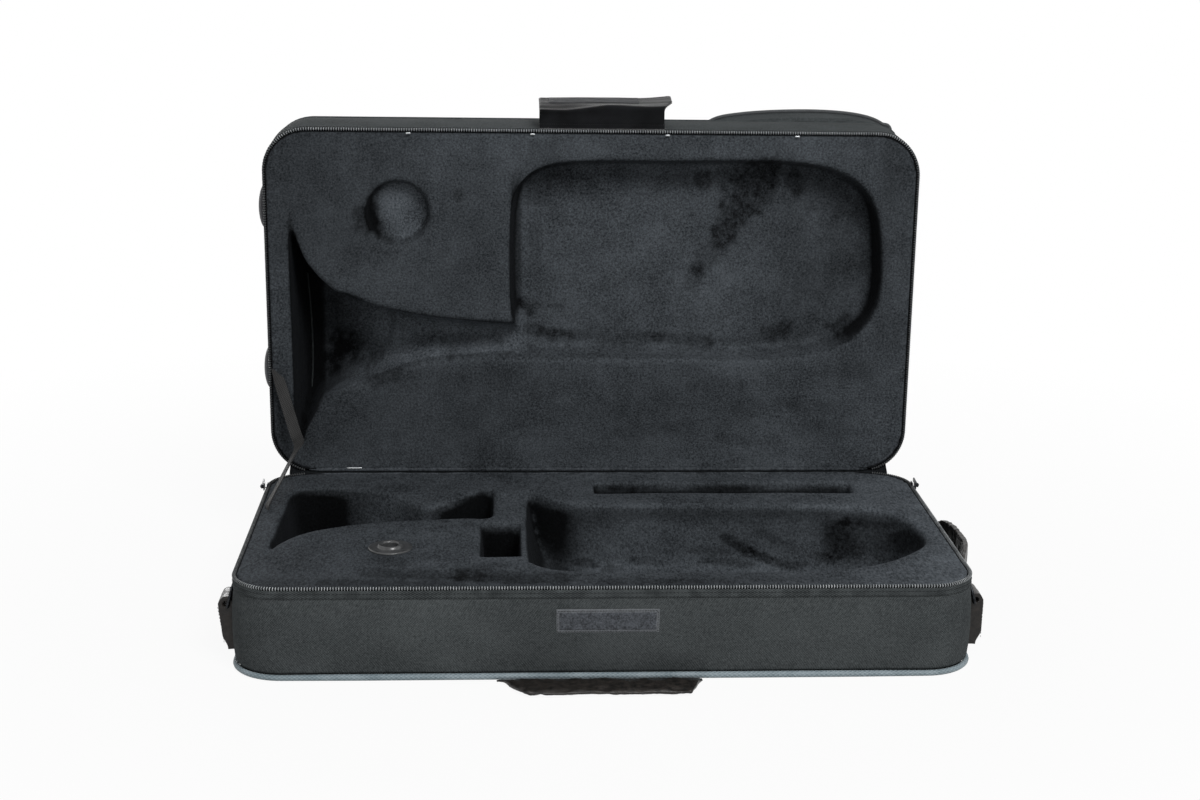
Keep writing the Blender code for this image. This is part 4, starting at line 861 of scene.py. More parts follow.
# Woven polyester tape: dense, slightly shinier than the nylon, with a fine rib across its length.
tape = woven_cloth(
    "zip_tape_weave", (0.0009, 0.0018), 0.25, (0.012,), "#2c2f30", "#474b4c", 0.4, 0.0003,
    Roughness=0.78, Specular_IOR_Level=0.05,
)

# Moulded polyester coil: pale grey, smooth and slightly glossy, and darker towards its ends and towards the hinge.
coil, tree = empty_material("polyester_coil")
place = add_node(tree, "ShaderNodeSeparateXYZ", {0: add_node(tree, "ShaderNodeTexCoord").outputs["Object"]}).outputs
rear = add_node(tree, "ShaderNodeMath", {0: place["Y"], 1: -0.5, 2: place["Z"]}, operation="MULTIPLY_ADD")
end_dimming = 1.0
for along, start, end, first, last in (
    (place["X"], -0.318, -0.300, 0.16, 1.0), (place["X"], 0.306, 0.319, 1.0, 0.42), (rear, 0.015, 0.055, 0.14, 1.0),
):
    worn = {"Value": along, "From Min": start, "From Max": end, "To Min": first, "To Max": last}
    worn = add_node(tree, "ShaderNodeMapRange", worn)
    end_dimming = add_node(tree, "ShaderNodeMath", {0: end_dimming, 1: worn}, operation="MULTIPLY")
dimmed = add_node(tree, "ShaderNodeMix", {
    "Factor": 1.0, "A": blend_colours(tree, cloud(tree, 0.009), "#7d8284", "#bfc3c5"), "B": end_dimming,
}, data_type="RGBA", blend_type="MULTIPLY")
surface(tree, Roughness=0.32, Base_Color=dimmed.outputs["Result"])

# Black sewing thread, twisted and matt.
thread, tree = empty_material("sewing_thread")
twist = blend_colours(tree, cloud(tree, 0.0009), "#17181a", "#2c2e30")
surface(tree, Roughness=0.7, Specular_IOR_Level=0.1, Base_Color=twist)

TAPE_SECTION = tenths((
    (3, 740), (9, 738), (12, 743), (12, 752), (10, 765), (11, 785), (10, 806), (7, 812), (3, 811),
))
RIM_STITCH = (0.0032, 0.00022, 0.0012)
SEWN, COIL_ROUND, COIL_PITCH = 380, 500, 0.0024
tape_rows = band_rows(TAPE_SECTION, SEWN, ZIP_END)
coil_line = band_rows([(-0.0003, BASE_TALL - 0.0003)], COIL_ROUND, ZIP_END)[:, 0]
seams = [band_rows([(0.0012, up)], SEWN, ZIP_END)[:, 0] for up in (0.0749, 0.0783)]
for body, placed, turn, wire, core in (
    ("base", np.asarray, 0.00140, 0.00034, 0.00118),
    ("lid", lambda rows: lid_over(rows, BASE_TALL), 0.00115, 0.00032, 0.00095),
):
    piece(f"{body}_tape", skin(placed(tape_rows)), tape, body, "zip_tape", f"{body}_zip_tape")
    turns = [placed(coil_line)]
    strung(f"{body}_coil", RINGS, turns, (COIL_PITCH, turn, wire), coil, body, "zip_coil", f"{body}_zip_coil")
    piece(f"{body}_coil_core", tube_skin(turns[0], core, 8), thread, body)
    strung(f"{body}_rim_stitches", GRAINS, [placed(line) for line in seams], RIM_STITCH, thread, body)

# Zip sliders and pulls
# Die-cast sliders, plated in black nickel, wait at the rear ends of the zip, each with a flat pull on a pin. The
# outer pocket's slider is the same kind. Their cast edges are slightly rounded.


def merged(name, node, flatten):
    """A copy of a CAD node's loose triangles as an object, with doubled points merged and flat faces whole."""
    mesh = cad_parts[node].data.copy()
    custom = mesh.attributes.get("custom_normal")
    if custom:
        mesh.attributes.remove(custom)
    merge = bmesh.new()
    merge.from_mesh(mesh)
    bmesh.ops.remove_doubles(merge, verts=merge.verts, dist=0.000005)
    if flatten:
        bmesh.ops.dissolve_limit(merge, angle_limit=math.radians(1), verts=merge.verts, edges=merge.edges)
    merge.to_mesh(mesh)
    merge.free()
    return set_down(name, mesh)


# Black nickel over die-cast zinc: dark and glossy, a little worn on its edges.
dark_nickel, tree = empty_material("black_nickel_plate")
worn = cloud(tree, 0.003, 4.0)
dull = add_node(tree, "ShaderNodeMapRange", {"Value": worn, "To Min": 0.34, "To Max": 0.55})
surface(tree, Metallic=1.0, Roughness=dull, Base_Color=blend_colours(tree, worn, "#1d1e20", "#3a3c3f"))

CAST_EDGE, SLIDER_SCALE = 0.00022, (0.85, 0.72, 0.62, 1)
SLIDER_X, SLIDER_Y, SLIDER_Z = 0.3256, 0.1235, 0.0830
for node in (
    "zip_slider_left", "zip_slider_right", "pocket_slider", "zip_pull_left", "zip_pull_right", "pocket_pull",
):
    made = merged(node + "_cast", node, True)
    edge = made.modifiers.new("edge", "BEVEL")
    edge.width, edge.segments, edge.limit_method, edge.angle_limit = CAST_EDGE, 2, "ANGLE", math.radians(35)
    applied(made)
    made.data.shade_smooth()
    made.data.set_sharp_from_angle(angle=math.radians(40))
    if node.startswith("zip_"):
        pivot = Vector((math.copysign(SLIDER_X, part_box(node)[0].x), SLIDER_Y, SLIDER_Z))
        shrink = Matrix.Translation(pivot) @ Matrix.Diagonal(SLIDER_SCALE) @ Matrix.Translation(-pivot)
        made.data.transform(shrink)
    dress(made, dark_nickel, node, "steel", node)

# Plush rolls at the hinge
# The lining of each half is turned over a thin welt along the hinge, so that plush meets plush when the case
# stands open. The welts are sewn under the edges of the two blocks.
for name, body, y, z, radius, half in (
    ("lid_plush_roll", "lid", 0.1739, 0.0861, 0.0018, 0.284),
    ("base_plush_roll", "base", 0.1700, 0.0824, 0.0014, 0.280),
):
    stations = np.linspace(-half, half, 200)
    swell = 0.0003 * lumpy(stations, np.full(200, y), 0.020, 5)
    thinner = 1 - 0.7 * step(np.abs(stations), half - 0.012, half)
    line = np.column_stack([stations, np.full(200, y), z + swell * 0.5])
    roll = piece(name, tube_skin(line, (radius + swell) * thinner, 14), plush, body, "plush")
    store(roll.data, "pile_and_shade", np.full(len(roll.data.vertices), 0.44))

# Piping
# A cord covered in bias-cut fabric, sewn into the seat at the outer edge of each half. The base's is grey-blue,
# and the lid's is covered in the same dark weave as the zip tape.

# Bias-cut fabric over a cord: a fine diagonal rib in grey-blue with small soil marks.
piping = woven_cloth(
    "bias_piping", (0.0016, 0.0021), 0.18, (0.02, 4.0), "#5f6d73", "#838f95", 0.35, 0.0004,
    Roughness=0.62, Sheen_Weight=0.15,
)
piping_line = at_height(rim(0.0008, ROUND), 0.0031)
cord_thick = 0.0025 + 0.0004 * step(np.abs(piping_line[:, 0]), 0.305, 0.200)
base_cord = tube_skin(piping_line, cord_thick, 12, True)
piece("base_edge_piping", base_cord, piping, "base", "piping", "base_piping")
lid_line = lid_over(at_height(rim(-0.0006, ROUND), 0.0036), LID_TALL)
lid_cord = tube_skin(lid_line, 0.0026, 12, True, (0.0, 1.0, 0.0))
piece("lid_edge_piping", lid_cord, tape, "lid", "piping", "lid_piping")

# Fabric hinge
# One strip of the rim's black lining cloth is sewn to the back of the base and under the lid, and bends between
# them. Its ends follow the rounded corners as small gussets.
hinge_line = np.array(tenths((
    (1719, 740), (1719, 790), (1719, 820), (1721, 829), (1728, 835), (1740, 836), (1780, 836), (1820, 836),
    (1820, 843), (1780, 843), (1742, 843), (1732, 843), (1724, 840), (1715, 833), (1712, 825), (1712, 790),
    (1712, 740),
))) + np.array([0.0008, 0.0])
on_base = 1 - step(hinge_line[:, 0], 0.1732, 0.1785)
hinge_rows = []
for x in np.linspace(-0.303, 0.303, 91):
    bend = CORNER - math.sqrt(CORNER ** 2 - max(0.0, abs(x) - (LONG / 2 - CORNER)) ** 2)
    y, z = hinge_line[:, 0] - bend * on_base, hinge_line[:, 1] + bend * (1 - on_base)
    hinge_rows.append(np.column_stack([np.full(len(hinge_line), x), y, z]))
hinge = piece("hinge_fabric", skin(hinge_rows), rim_black, None, "nylon", "base_hinge_strip", "lid_hinge_strip")
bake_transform(hinge)

# Stay strap
# A slack strap of woven polypropylene, sewn into the left wall of each half, stops the lid from falling back.
# It twists as it goes slack.
strap_x = -LONG / 2 + 0.0065
base_end = np.array((strap_x, HINGE_Y - 0.115, BASE_TALL))
lid_end = np.array((strap_x, LID_FACE_Y + 0.002, HINGE_Z + 0.103))
fold = np.array((-LONG / 2 + 0.029, HINGE_Y - 0.023, HINGE_Z + 0.035))
tail = np.array((0, 0.7071, 0.7071)) * 0.015
edge_on, broad, twisted = (-0.64, 0.31, -0.70), (-0.95, -0.2, -0.2), (-0.52, -0.84, -0.15)
strap_points = [
    (base_end - tail, edge_on), (base_end, edge_on), (base_end + 0.35 * (fold - base_end), edge_on),
    (base_end + 0.8 * (fold - base_end), edge_on), (fold, (-0.80, 0.1, -0.5)),
    (fold + 0.2 * (lid_end - fold), broad), (fold + 0.7 * (lid_end - fold), broad),
    (lid_end, twisted), (lid_end + np.array((-0.001, 0.012, 0.004)), twisted),
]
strap_rows = []
last = len(strap_points) - 1
for i in range(last):
    spots, ways = zip(*(strap_points[min(max(i + k, 0), last)] for k in (-1, 0, 1, 2)))
    ways = [np.array(way) / np.linalg.norm(way) for way in ways]
    for t in np.arange(12 + (i == last - 1)) / 12:
        strap_rows.append((between(*spots, t), between(*ways, t)))
HALF_FLAT = (0.0055, 0.0038, 0.0, -0.0038, -0.0055)
webbing_edge = [(w, 0.0005) for w in HALF_FLAT] + [(-0.0057, 0)] + [(-w, -0.0005) for w in HALF_FLAT] + [(0.0057, 0)]
ribbon = []
for i, (spot, across) in enumerate(strap_rows):
    forward = strap_rows[min(i + 1, len(strap_rows) - 1)][0] - strap_rows[max(i - 1, 0)][0]
    forward = forward / np.linalg.norm(forward)
    across = across - forward * across.dot(forward)
    across = across / np.linalg.norm(across)
    out = np.cross(forward, across)
    ribbon.append([spot + across * w + out * h for w, h in webbing_edge])

# Woven polypropylene webbing: a warp of flat ribs across the strap, slightly glossy, greyed by wear.
webbing = woven_cloth(
    "polypropylene_webbing", (0.0010, 0.0014), 0.3, (0.03,), "#202020", "#383838", 0.5, 0.0004,
    Roughness=0.6, Specular_IOR_Level=0.12,
)
strap = piece("stay_webbing", skin(ribbon), webbing, None, "webbing", "stay_strap")
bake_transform(strap)

# Staples
# Bright wire staples pin the plush under the zip, four along the lid's front rim and a longer one by the hinge.
# Each is a short flattened wire whose two ends bend back into the cloth.

# Nickel-plated steel wire: bright, with fine hairline wear that dulls the worn places.
steel, tree = empty_material("nickel_plate")
worn = cloud(tree, 0.004, 4.0)
dull = add_node(tree, "ShaderNodeMapRange", {"Value": worn, "To Min": 0.18, "To Max": 0.42})
scratches = cloud(tree, 0.0012, 2.0, 0.6, (1.0, 1.0, 0.15))
hairlines = add_node(tree, "ShaderNodeBump", {"Strength": 0.08, "Distance": 0.0002, "Height": scratches})
shine = blend_colours(tree, worn, "#8e9194", "#c3c6c8")
surface(tree, Metallic=1.0, Roughness=dull, Base_Color=shine, Normal=hairlines)

WIRE, FLATTENED = 0.00035, 2.6
for node in ("lid_staple_1", "lid_staple_2", "lid_staple_3", "lid_staple_4", "hinge_staple"):
    low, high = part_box(node)
    x, y, z = ((a + b) / 2 for a, b in zip(low, high))
    half = (high.x - low.x) / 2 - 0.0005
    leg, crown = y + 0.0003, y - 0.00005
    wire = [(x - half, leg, z), (x - half + 0.0004, crown, z)]
    wire += [(x + k * half * 0.8, crown, z) for k in (-0.8, -0.4, 0, 0.4, 0.8)]
    wire += [(x + half - 0.0004, crown, z), (x + half, leg, z)]
    staple = tube_skin(wire, WIRE, 8)
    spots = spots_of(staple)
    spots[:, 2] = z + (spots[:, 2] - z) * FLATTENED
    move_spots(staple, spots)
    piece(node + "_wire", staple, steel, "lid", "steel", node)

# Mouthpiece bush
# A turned black plastic bush pressed into the base's front plateau, which holds the mouthpiece: a flat flange, a
# raised polished lip and a deep bore.


def turned(profile, steps=64):
    """A closed profile of (radius, height) turned about Z."""
    angles = [2 * math.pi * k / steps for k in range(steps)]
    return skin([[(radius * math.cos(a), radius * math.sin(a), up) for radius, up in profile] for a in angles], True)


# Turned and polished ABS: black, glossy on the lip, with fine turning rings.
bush_black, tree = empty_material("turned_abs")
place = add_node(tree, "ShaderNodeTexCoord").outputs["Object"]
centred = add_node(tree, "ShaderNodeMapping", {"Vector": place, "Location": (-BUSH[0], -BUSH[1], 0)})
rings = add_node(tree, "ShaderNodeTexWave", {
    "Vector": centred, "Scale": 260.0, "Distortion": 0.6,
}, wave_type="RINGS", rings_direction="Z").outputs["Fac"]
bump = add_node(tree, "ShaderNodeBump", {"Strength": 0.12, "Distance": 0.0002, "Height": rings})
surface(tree, Roughness=0.28, Base_Color=blend_colours(tree, cloud(tree, 0.006), "#303132", "#474849"), Normal=bump)

bush = turned(tenths((
    (72, 400), (72, 832), (74, 841), (80, 848), (90, 852), (102, 850), (111, 843), (114, 833), (118, 828),
    (126, 826), (156, 826), (184, 825), (194, 822), (198, 817), (198, 809), (130, 806), (130, 400),
)))
bush.transform(Matrix.Translation((*BUSH, 0)))
piece("bush", bush, bush_black, "base", "bush_plastic", "mouthpiece_bush")

# Dome feet
# Four moulded domes on the left end, two on each half, for standing the case on its end. Each has a small flange
# that lies flat on the nylon.

# Moulded polyethylene: matt dark grey with an orange-peel skin and scuffed crowns.
foot_black, tree = empty_material("moulded_polyethylene")
scuffs = blend_colours(tree, cloud(tree, 0.005, 5.0, 0.65), "#26272a", "#3a3b3f")
peel = add_node(tree, "ShaderNodeBump", {"Strength": 0.3, "Distance": 0.0003, "Height": cloud(tree, 0.0016)})
surface(tree, Roughness=0.55, Specular_IOR_Level=0.25, Base_Color=scuffs, Normal=peel)

POLE, FLANGE_LOW, FLANGE_HIGH, DOME_TALL = 0.0001, 0.0003, 0.0008, 0.0065
for node in ("base_foot_front", "base_foot_rear", "lid_foot_lower", "lid_foot_upper"):
    low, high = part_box(node)
    radius = (high.z - low.z) / 2
    profile = [(POLE, FLANGE_LOW), (radius - 0.001, FLANGE_LOW), (radius, FLANGE_HIGH)]
    for a in np.linspace(0.12, math.pi / 2 - 0.02, 12):
        profile.append((radius * math.cos(a), FLANGE_HIGH + DOME_TALL * math.sin(a)))
    dome = turned(profile + [(POLE, FLANGE_HIGH + DOME_TALL)], 48)
    seat = Matrix.Translation((-LONG / 2 - 0.0021, (low.y + high.y) / 2, (low.z + high.z) / 2))
    dome.transform(seat @ Matrix.Rotation(-math.pi / 2, 4, "Y"))
    piece(node + "_dome", dome, foot_black, node.split("_")[0], "foot_plastic", node)

# Loop patch
# A bare patch of fuzzy loop fabric in the middle of the front wall, which the flap's hook tape presses on to. It
# is woven with a flat edge all round, and sewn down through it.
PATCH_HALF, PATCH_LOW, PATCH_HIGH = 0.044, 0.0430, 0.0640
PATCH_EDGE, PILE = 0.0026, 0.0005


def inset(x, z):
    """How far a point of the patch lies inside its outline."""
    return min(x + PATCH_HALF, PATCH_HALF - x, z - PATCH_LOW, PATCH_HIGH - z)


def patch_rows():
    """Closed sections along the patch: loops stand up inside a flat sewn edge."""
    fuzz = np.random.default_rng(21)
    front, back = -DEEP / 2 - 0.0018, -DEEP / 2 - 0.0003
    rows = []
    for x in np.linspace(-PATCH_HALF, PATCH_HALF, 177):
        row = []
        for z in np.linspace(PATCH_LOW, PATCH_HIGH, 43):
            raised = min(1.0, max(0.0, (inset(x, z) - PATCH_EDGE) / 0.0008))
            height = 0.0004 + 0.0005 * min(1.0, inset(x, z) / 0.0006)
            row.append((x, front - (height + raised * (0.0002 + PILE * fuzz.uniform(0.1, 1.0))), z))
        rows.append(row + [(x, back, PATCH_HIGH), (x, back, PATCH_LOW)])
    return rows


# Brushed nylon loop: dark blue-grey fuzz that scatters light softly, over a slightly paler woven edge.
loop_cloth, tree = empty_material("nylon_loop")
fuzz = clouds(tree, (0.7, 0.0015, 3.0, 0.8), (0.35, 0.006))
inside = add_node(tree, "ShaderNodeAttribute", attribute_name="inset").outputs["Fac"]
inner = add_node(tree, "ShaderNodeMapRange", {"Value": inside, "From Min": 0.0022, "From Max": 0.0030})
shades = add_node(tree, "ShaderNodeMix", {
    "Factor": inner, "A": blend_colours(tree, fuzz, "#46494c", "#6c6f73", 0.35, 0.7),
    "B": blend_colours(tree, fuzz, "#15181c", "#50545a", 0.39, 0.64),
}, data_type="RGBA")
loops = add_node(tree, "ShaderNodeBump", {
    "Strength": 0.8, "Distance": 0.0005, "Height": cloud(tree, 0.0008, 2.0, 0.8),
})
surface(
    tree, Roughness=0.95, Sheen_Weight=0.15, Sheen_Roughness=0.4,
    Base_Color=shades.outputs["Result"], Normal=loops,
)
patch = piece("loop_fabric", skin(patch_rows()), loop_cloth, "base", "loop_pile", "loop_patch")
store(patch.data, "inset", [inset(v.co.x, v.co.z) for v in patch.data.vertices])


def box_line(left, right, low, high, y):
    """Points 1 mm apart round an upright rectangle that faces the front."""
    return even(np.array([(left, y, low), (right, y, low), (right, y, high), (left, y, high)]), 0.001, True)


SEWN_IN = 0.0013
frame_line = box_line(
    SEWN_IN - PATCH_HALF, PATCH_HALF - SEWN_IN, PATCH_LOW + SEWN_IN, PATCH_HIGH - SEWN_IN, -DEEP / 2 - 0.0028,
)
strung("patch_stitches", GRAINS, [frame_line], (0.0024, 0.00022, 0.0010), thread, "base", closed=True)

# Closure flap
# A double layer of ribbed nylon sewn to the lid's front wall. It stands up from its seam and curls back in soft
# waves, with one corner pulled out and hook tape on the side that folds down on to the loop patch. Its free end
# falls back a little, so that it clears the patch when the case is closed.
FLAP_LEFT, FLAP_RIGHT, FLAP_Y = -0.0535, 0.0685, 0.1845
ROOT_Z, FOLD_Z = 0.4319, 0.4512
FOLD_ROUND, FOLD_DROP, CURLED = 0.0045, 0.0042, 0.037
TIP_BACK = math.radians(81.6)
flap_run = [(FLAP_Y, z) for z in np.linspace(ROOT_Z, FOLD_Z - FOLD_DROP, 9)]
flap_run += [
    (FLAP_Y + FOLD_ROUND * (1 - math.cos(a)), FOLD_Z - FOLD_DROP + FOLD_ROUND * math.sin(a))
    for a in np.linspace(0, TIP_BACK, 9)[1:]
]
end_y, end_z = flap_run[-1]
flap_run += [(end_y + t * math.sin(TIP_BACK), end_z + t * math.cos(TIP_BACK)) for t in np.linspace(0, CURLED, 15)[1:]]
flap_run = even(np.array(flap_run), 0.0014, False)
flap_along = run_along(flap_run)
flap_face = np.gradient(flap_run, axis=0)
flap_face = flap_face / np.linalg.norm(flap_face, axis=1)[:, None]


def flap_spot(x, k, height):
    """A point of the flap: x across, station k from the seam, height above its middle on the hook side."""
    (y, z), (dy, dz), along = flap_run[k], flap_face[k], flap_along[k]
    back = max(0.0, (along - 0.016) / 0.040)
    wave = 0.0007 * math.sin((x + 0.02) * 62) + 0.0004 * math.sin(x * 118 + 1.0 + 22 * back)
    settled = min(1.0, 2.4 * back)
    lift = (
        back * (1.0 - 0.75 * back) * wave * 0.8
        + 0.0007 * math.sin(x * 55 + 0.6) * min(1.0, along / 0.012) * (1 - 0.8 * settled)
        - 0.0016 * math.sin(math.pi * min(1.0, along / 0.018))
    )
    pulled = max(0.0, (x - 0.035) / 0.0335) ** 2 * min(1.0, back * 2.2)
    fold_near = math.exp(-((along - 0.0205) / 0.0085) ** 2)
    left_sag = min(1.0, max(0.0, (0.012 - x) / 0.040))
    rise = (
        0.0030 * pulled - 0.0034 * settled - (0.0008 + 0.0036 * left_sag) * fold_near
        + 0.0003 * math.sin(x * 90) * fold_near
    )
    height = height + lift
    return (x + 0.0085 * pulled, y - dz * height, z + dy * height + rise)


def flap_rows(first, last, low, high, left, right):
    """Closed sections of a layer of the flap between two heights, thinner towards its edges."""
    rows = []
    for x in np.linspace(left, right, 101):
        thin = 0.35 + 0.65 * min(1.0, min(x - left, right - x) / 0.0015)
        middle, half = (low + high) / 2, (high - low) / 2 * thin
        halves = [(k, half * (0.4 if k in (first, last) else 1.0)) for k in range(first, last + 1)]
        over = [flap_spot(x, k, middle + thick) for k, thick in halves]
        rows.append(over + [flap_spot(x, k, middle - thick) for k, thick in reversed(halves)])
    return rows


# Ribbed nylon: the same yarn as the shell woven with a raised rib, a little smoother, and near-black: darker cloth,
# painted darker still as shade on the flap's face.
ribbed = woven_cloth(
    "ribbed_nylon", (0.0013, 0.0009), 0.16, (0.02,), "#0b0c0d", "#18191b", 0.5, 0.0004,
    Roughness=0.75, Sheen_Weight=0.95, Sheen_Roughness=0.3, Specular_IOR_Level=0.05,
)

# Moulded nylon hook: stiff, slightly glossy tape with rows of tiny hooks.
hook_cloth = woven_cloth(
    "nylon_hook", (0.0012, 0.0012), 0.3, (0.004,), "#1c1d20", "#3b3d41", 0.9, 0.0008,
    Roughness=0.5, Specular_IOR_Level=0.2,
)

last = len(flap_run) - 1
cloth = skin(flap_rows(0, last, -0.0013, 0.0013, FLAP_LEFT, FLAP_RIGHT))
flap = piece("flap_cloth", cloth, ribbed, None, "nylon", "flap_root", "flap_tip")
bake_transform(flap)
HOOK_LOW, HOOK_HIGH, HOOK_HALF = 0.00135, 0.0021, 0.0439
first_hook, last_hook = (int(np.argmin(np.abs(flap_run[:, 0] - y))) for y in (0.2015, 0.2225))
hooks = skin(flap_rows(first_hook, last_hook, HOOK_LOW, HOOK_HIGH, -HOOK_HALF, HOOK_HALF))
piece("hook_fabric", hooks, hook_cloth, "flap_tip", "hook_pile", "flap_hook_tape")
STITCH = (0.003, 0.0002, 0.0011)
hem_x = np.linspace(FLAP_LEFT + 0.003, FLAP_RIGHT - 0.003, 90)
hem = [np.array([flap_spot(x, k, HOOK_LOW) for x in hem_x]) for k in (last - 2, last - 4)]
strung("flap_stitches", GRAINS, hem, STITCH, thread, "flap_tip")
seam_profile = tenths((
    (-92, 4277), (-90, 4285), (-30, 4289), (-18, 4296), (-14, 4312), (-14, 4322), (-6, 4330), (6, 4330), (14, 4322),
    (14, 4312), (18, 4296), (30, 4285), (40, 4277),
))
seam_rows = [[(x, FLAP_Y + dy, z) for dy, z in seam_profile] for x in np.linspace(FLAP_LEFT, FLAP_RIGHT, 41)]
piece("flap_seam_bead", skin(seam_rows), ribbed, "lid", "nylon", "flap_seam")

# Leather tabs and rings
# Folded tabs of black leatherette are sewn to both end walls near the front, and each holds a wire D-ring for a
# shoulder strap. The rings lean against the wall above their tabs.


def softened(name, node, voxel, times):
    """A CAD node's shape, remeshed evenly and with its edges softened, as padded or folded leather has them."""
    made = remeshed(merged(name, node, False), voxel, times)
    made.data.shade_smooth()
    return made


def creased(mesh, amount, size, seed, squeeze=(1, 1, 1)):
    """Moves a mesh's points along their normals in seeded ridges, about that many metres apart."""
    spots, normals = spots_of(mesh), spots_of(mesh, "normal")
    ways = np.random.default_rng(seed)
    total = np.zeros(len(spots))
    scaled = spots * np.array(squeeze)
    bent = scaled + size * 0.5 * np.sin(scaled[:, [1, 2, 0]] * 2 * math.pi / (size * 2.3))
    for k in range(9):
        way = ways.normal(size=3)
        way /= np.linalg.norm(way)
        total += 1 - 2 * np.abs(np.sin(bent @ way * math.pi / (size * ways.uniform(0.7, 1.7)) + ways.uniform(0, 6)))
    move_spots(mesh, spots + normals * (amount * total / 3.2)[:, None])


# Polyurethane leatherette: black, soft gloss, a pebble grain 0.9 mm across and sharp creases where it is gathered.
leather, tree = empty_material("polyurethane_leatherette")
place = add_node(tree, "ShaderNodeTexCoord").outputs["Object"]
pebbles = add_node(tree, "ShaderNodeTexVoronoi", {"Vector": place, "Scale": 1100.0}, feature="DISTANCE_TO_EDGE")
scuffs = cloud(tree, 0.006, 5.0, 0.65)
dull = add_node(tree, "ShaderNodeMapRange", {"Value": scuffs, "To Min": 0.24, "To Max": 0.55})
grain = add_node(tree, "ShaderNodeBump", {
    "Strength": 0.35, "Distance": 0.0003, "Height": pebbles.outputs["Distance"],
})
gathers = add_node(tree, "ShaderNodeBump", {
    "Strength": 0.5, "Distance": 0.0012, "Height": cloud(tree, 0.007, 2.0, 0.5, (0.4, 1.0, 1.0)), "Normal": grain,
})
surface(
    tree, Roughness=dull, Specular_IOR_Level=0.3, Normal=gathers,
    Base_Color=blend_colours(tree, scuffs, "#0e0d0c", "#2c2825", 0.35, 0.72),
)

TAB_THICKER, TAB_TALLER, TAB_FACE, TAB_MIDDLE, TAB_SET = 1.18, 1.20, 0.3203, 0.0362, 0.0355
RING_X, RING_Y, RING_Z = 0.327, -0.11249, 0.05096
RING_TALL, RING_HALF, RING_BEND, RING_LEAN = 0.01801, 0.01655, 0.00175, math.radians(14.96)
for word, side in (("left", -1), ("right", 1)):
    node = f"d_ring_tab_{word}"
    tab = softened(f"tab_{word}", node, 0.0007, 3)
    creased(tab.data, 0.00012, 0.009, 5 + side)
    spots = spots_of(tab.data)
    thicker = TAB_THICKER * (1 - 0.30 * step(-spots[:, 2], -0.027, -0.017))
    spots[:, 0] = side * (TAB_FACE + (np.abs(spots[:, 0]) - TAB_FACE) * thicker)
    spots[:, 2] = TAB_SET + (spots[:, 2] - TAB_MIDDLE) * TAB_TALLER
    move_spots(tab.data, spots)
    dress(tab, leather, "base", "leatherette", node)
    outline = [(wide, 0.0) for wide in np.linspace(-RING_HALF + RING_BEND, RING_HALF - RING_BEND, 14)]
    outline.append((RING_HALF - 0.0006, 0.0005))
    for a in np.linspace(0, math.pi, 41):
        wide = math.copysign(abs(math.cos(a)) ** (2 / 2.6), math.cos(a)) * RING_HALF
        outline.append((wide, abs(math.sin(a)) ** (2 / 2.6) * (RING_TALL - RING_BEND) + RING_BEND))
    outline.append((-RING_HALF + 0.0006, 0.0005))
    out, up = math.sin(RING_LEAN), math.cos(RING_LEAN)
    wire = [(side * (RING_X - rise * out), RING_Y + wide, RING_Z + rise * up) for wide, rise in outline]
    ring = tube_skin(wire, 0.0015, 12, True, (1.0, 0.0, 0.2))
    piece(f"ring_{word}", ring, dark_nickel, f"d_ring_{word}", "steel", f"d_ring_{word}")
    low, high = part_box(node)
    foot, top = (0.0130 if side > 0 else 0.0097), 0.0133
    lines = []
    for y in (low.y + 0.0022, high.y - 0.0022):
        t = np.linspace(0, 1, 20)
        out = LONG / 2 + (foot + (top - foot) * t) * TAB_THICKER + 0.0001
        lines.append(np.column_stack([side * out, np.full(20, y), 0.018 + 0.031 * t]))
    strung(f"tab_stitches_{word}", GRAINS, lines, STITCH, thread, "base")

# Handles
# Padded leatherette handles, gathered where they are sewn: one under the front bottom edge, one arched on the
# right end wall. Both turn on sewn pads.
GRIP_LEFT, GRIP_RIGHT, GRIP_REAR = -0.0950, 0.0820, -0.1753
grip_rows = []
for x in np.linspace(GRIP_LEFT, GRIP_RIGHT, 178):
    taper = min(step(x, GRIP_LEFT - 0.004, GRIP_LEFT + 0.029), step(x, GRIP_RIGHT + 0.002, GRIP_RIGHT - 0.014))
    end = min(1.0, min(x - GRIP_LEFT, GRIP_RIGHT - x) / 0.004)
    deep = 0.0025 + 0.0360 * taper + 0.0006 * math.sin(x * 95)
    thick = (0.0012 + 0.0022 * math.sqrt(end)) * (0.75 + 0.25 * taper)
    ring = []
    for angle in np.linspace(0, 2 * math.pi, 32, endpoint=False):
        c, d = math.cos(angle), math.sin(angle)
        y = GRIP_REAR - deep / 2 - deep / 2 * math.copysign(abs(c) ** 0.55, c)
        flat = 0.30 + 0.70 * float(step(GRIP_REAR - y, 0.001, 0.013))
        ring.append((x, y, 0.0004 + thick * flat + thick * flat * math.copysign(abs(d) ** 0.8, d)))
    grip_rows.append(ring)
carry = set_down("carry_grip", skin(grip_rows))
creased(carry.data, 0.00060, 0.014, 12, (0.55, 1.0, 1.0))
creased(carry.data, 0.00014, 0.005, 13, (0.6, 1.0, 1.0))
spots = spots_of(carry.data)
spots[:, 1] = np.minimum(spots[:, 1], GRIP_REAR)
spots[:, 2] = np.maximum(spots[:, 2], 0.0002)
move_spots(carry.data, spots)

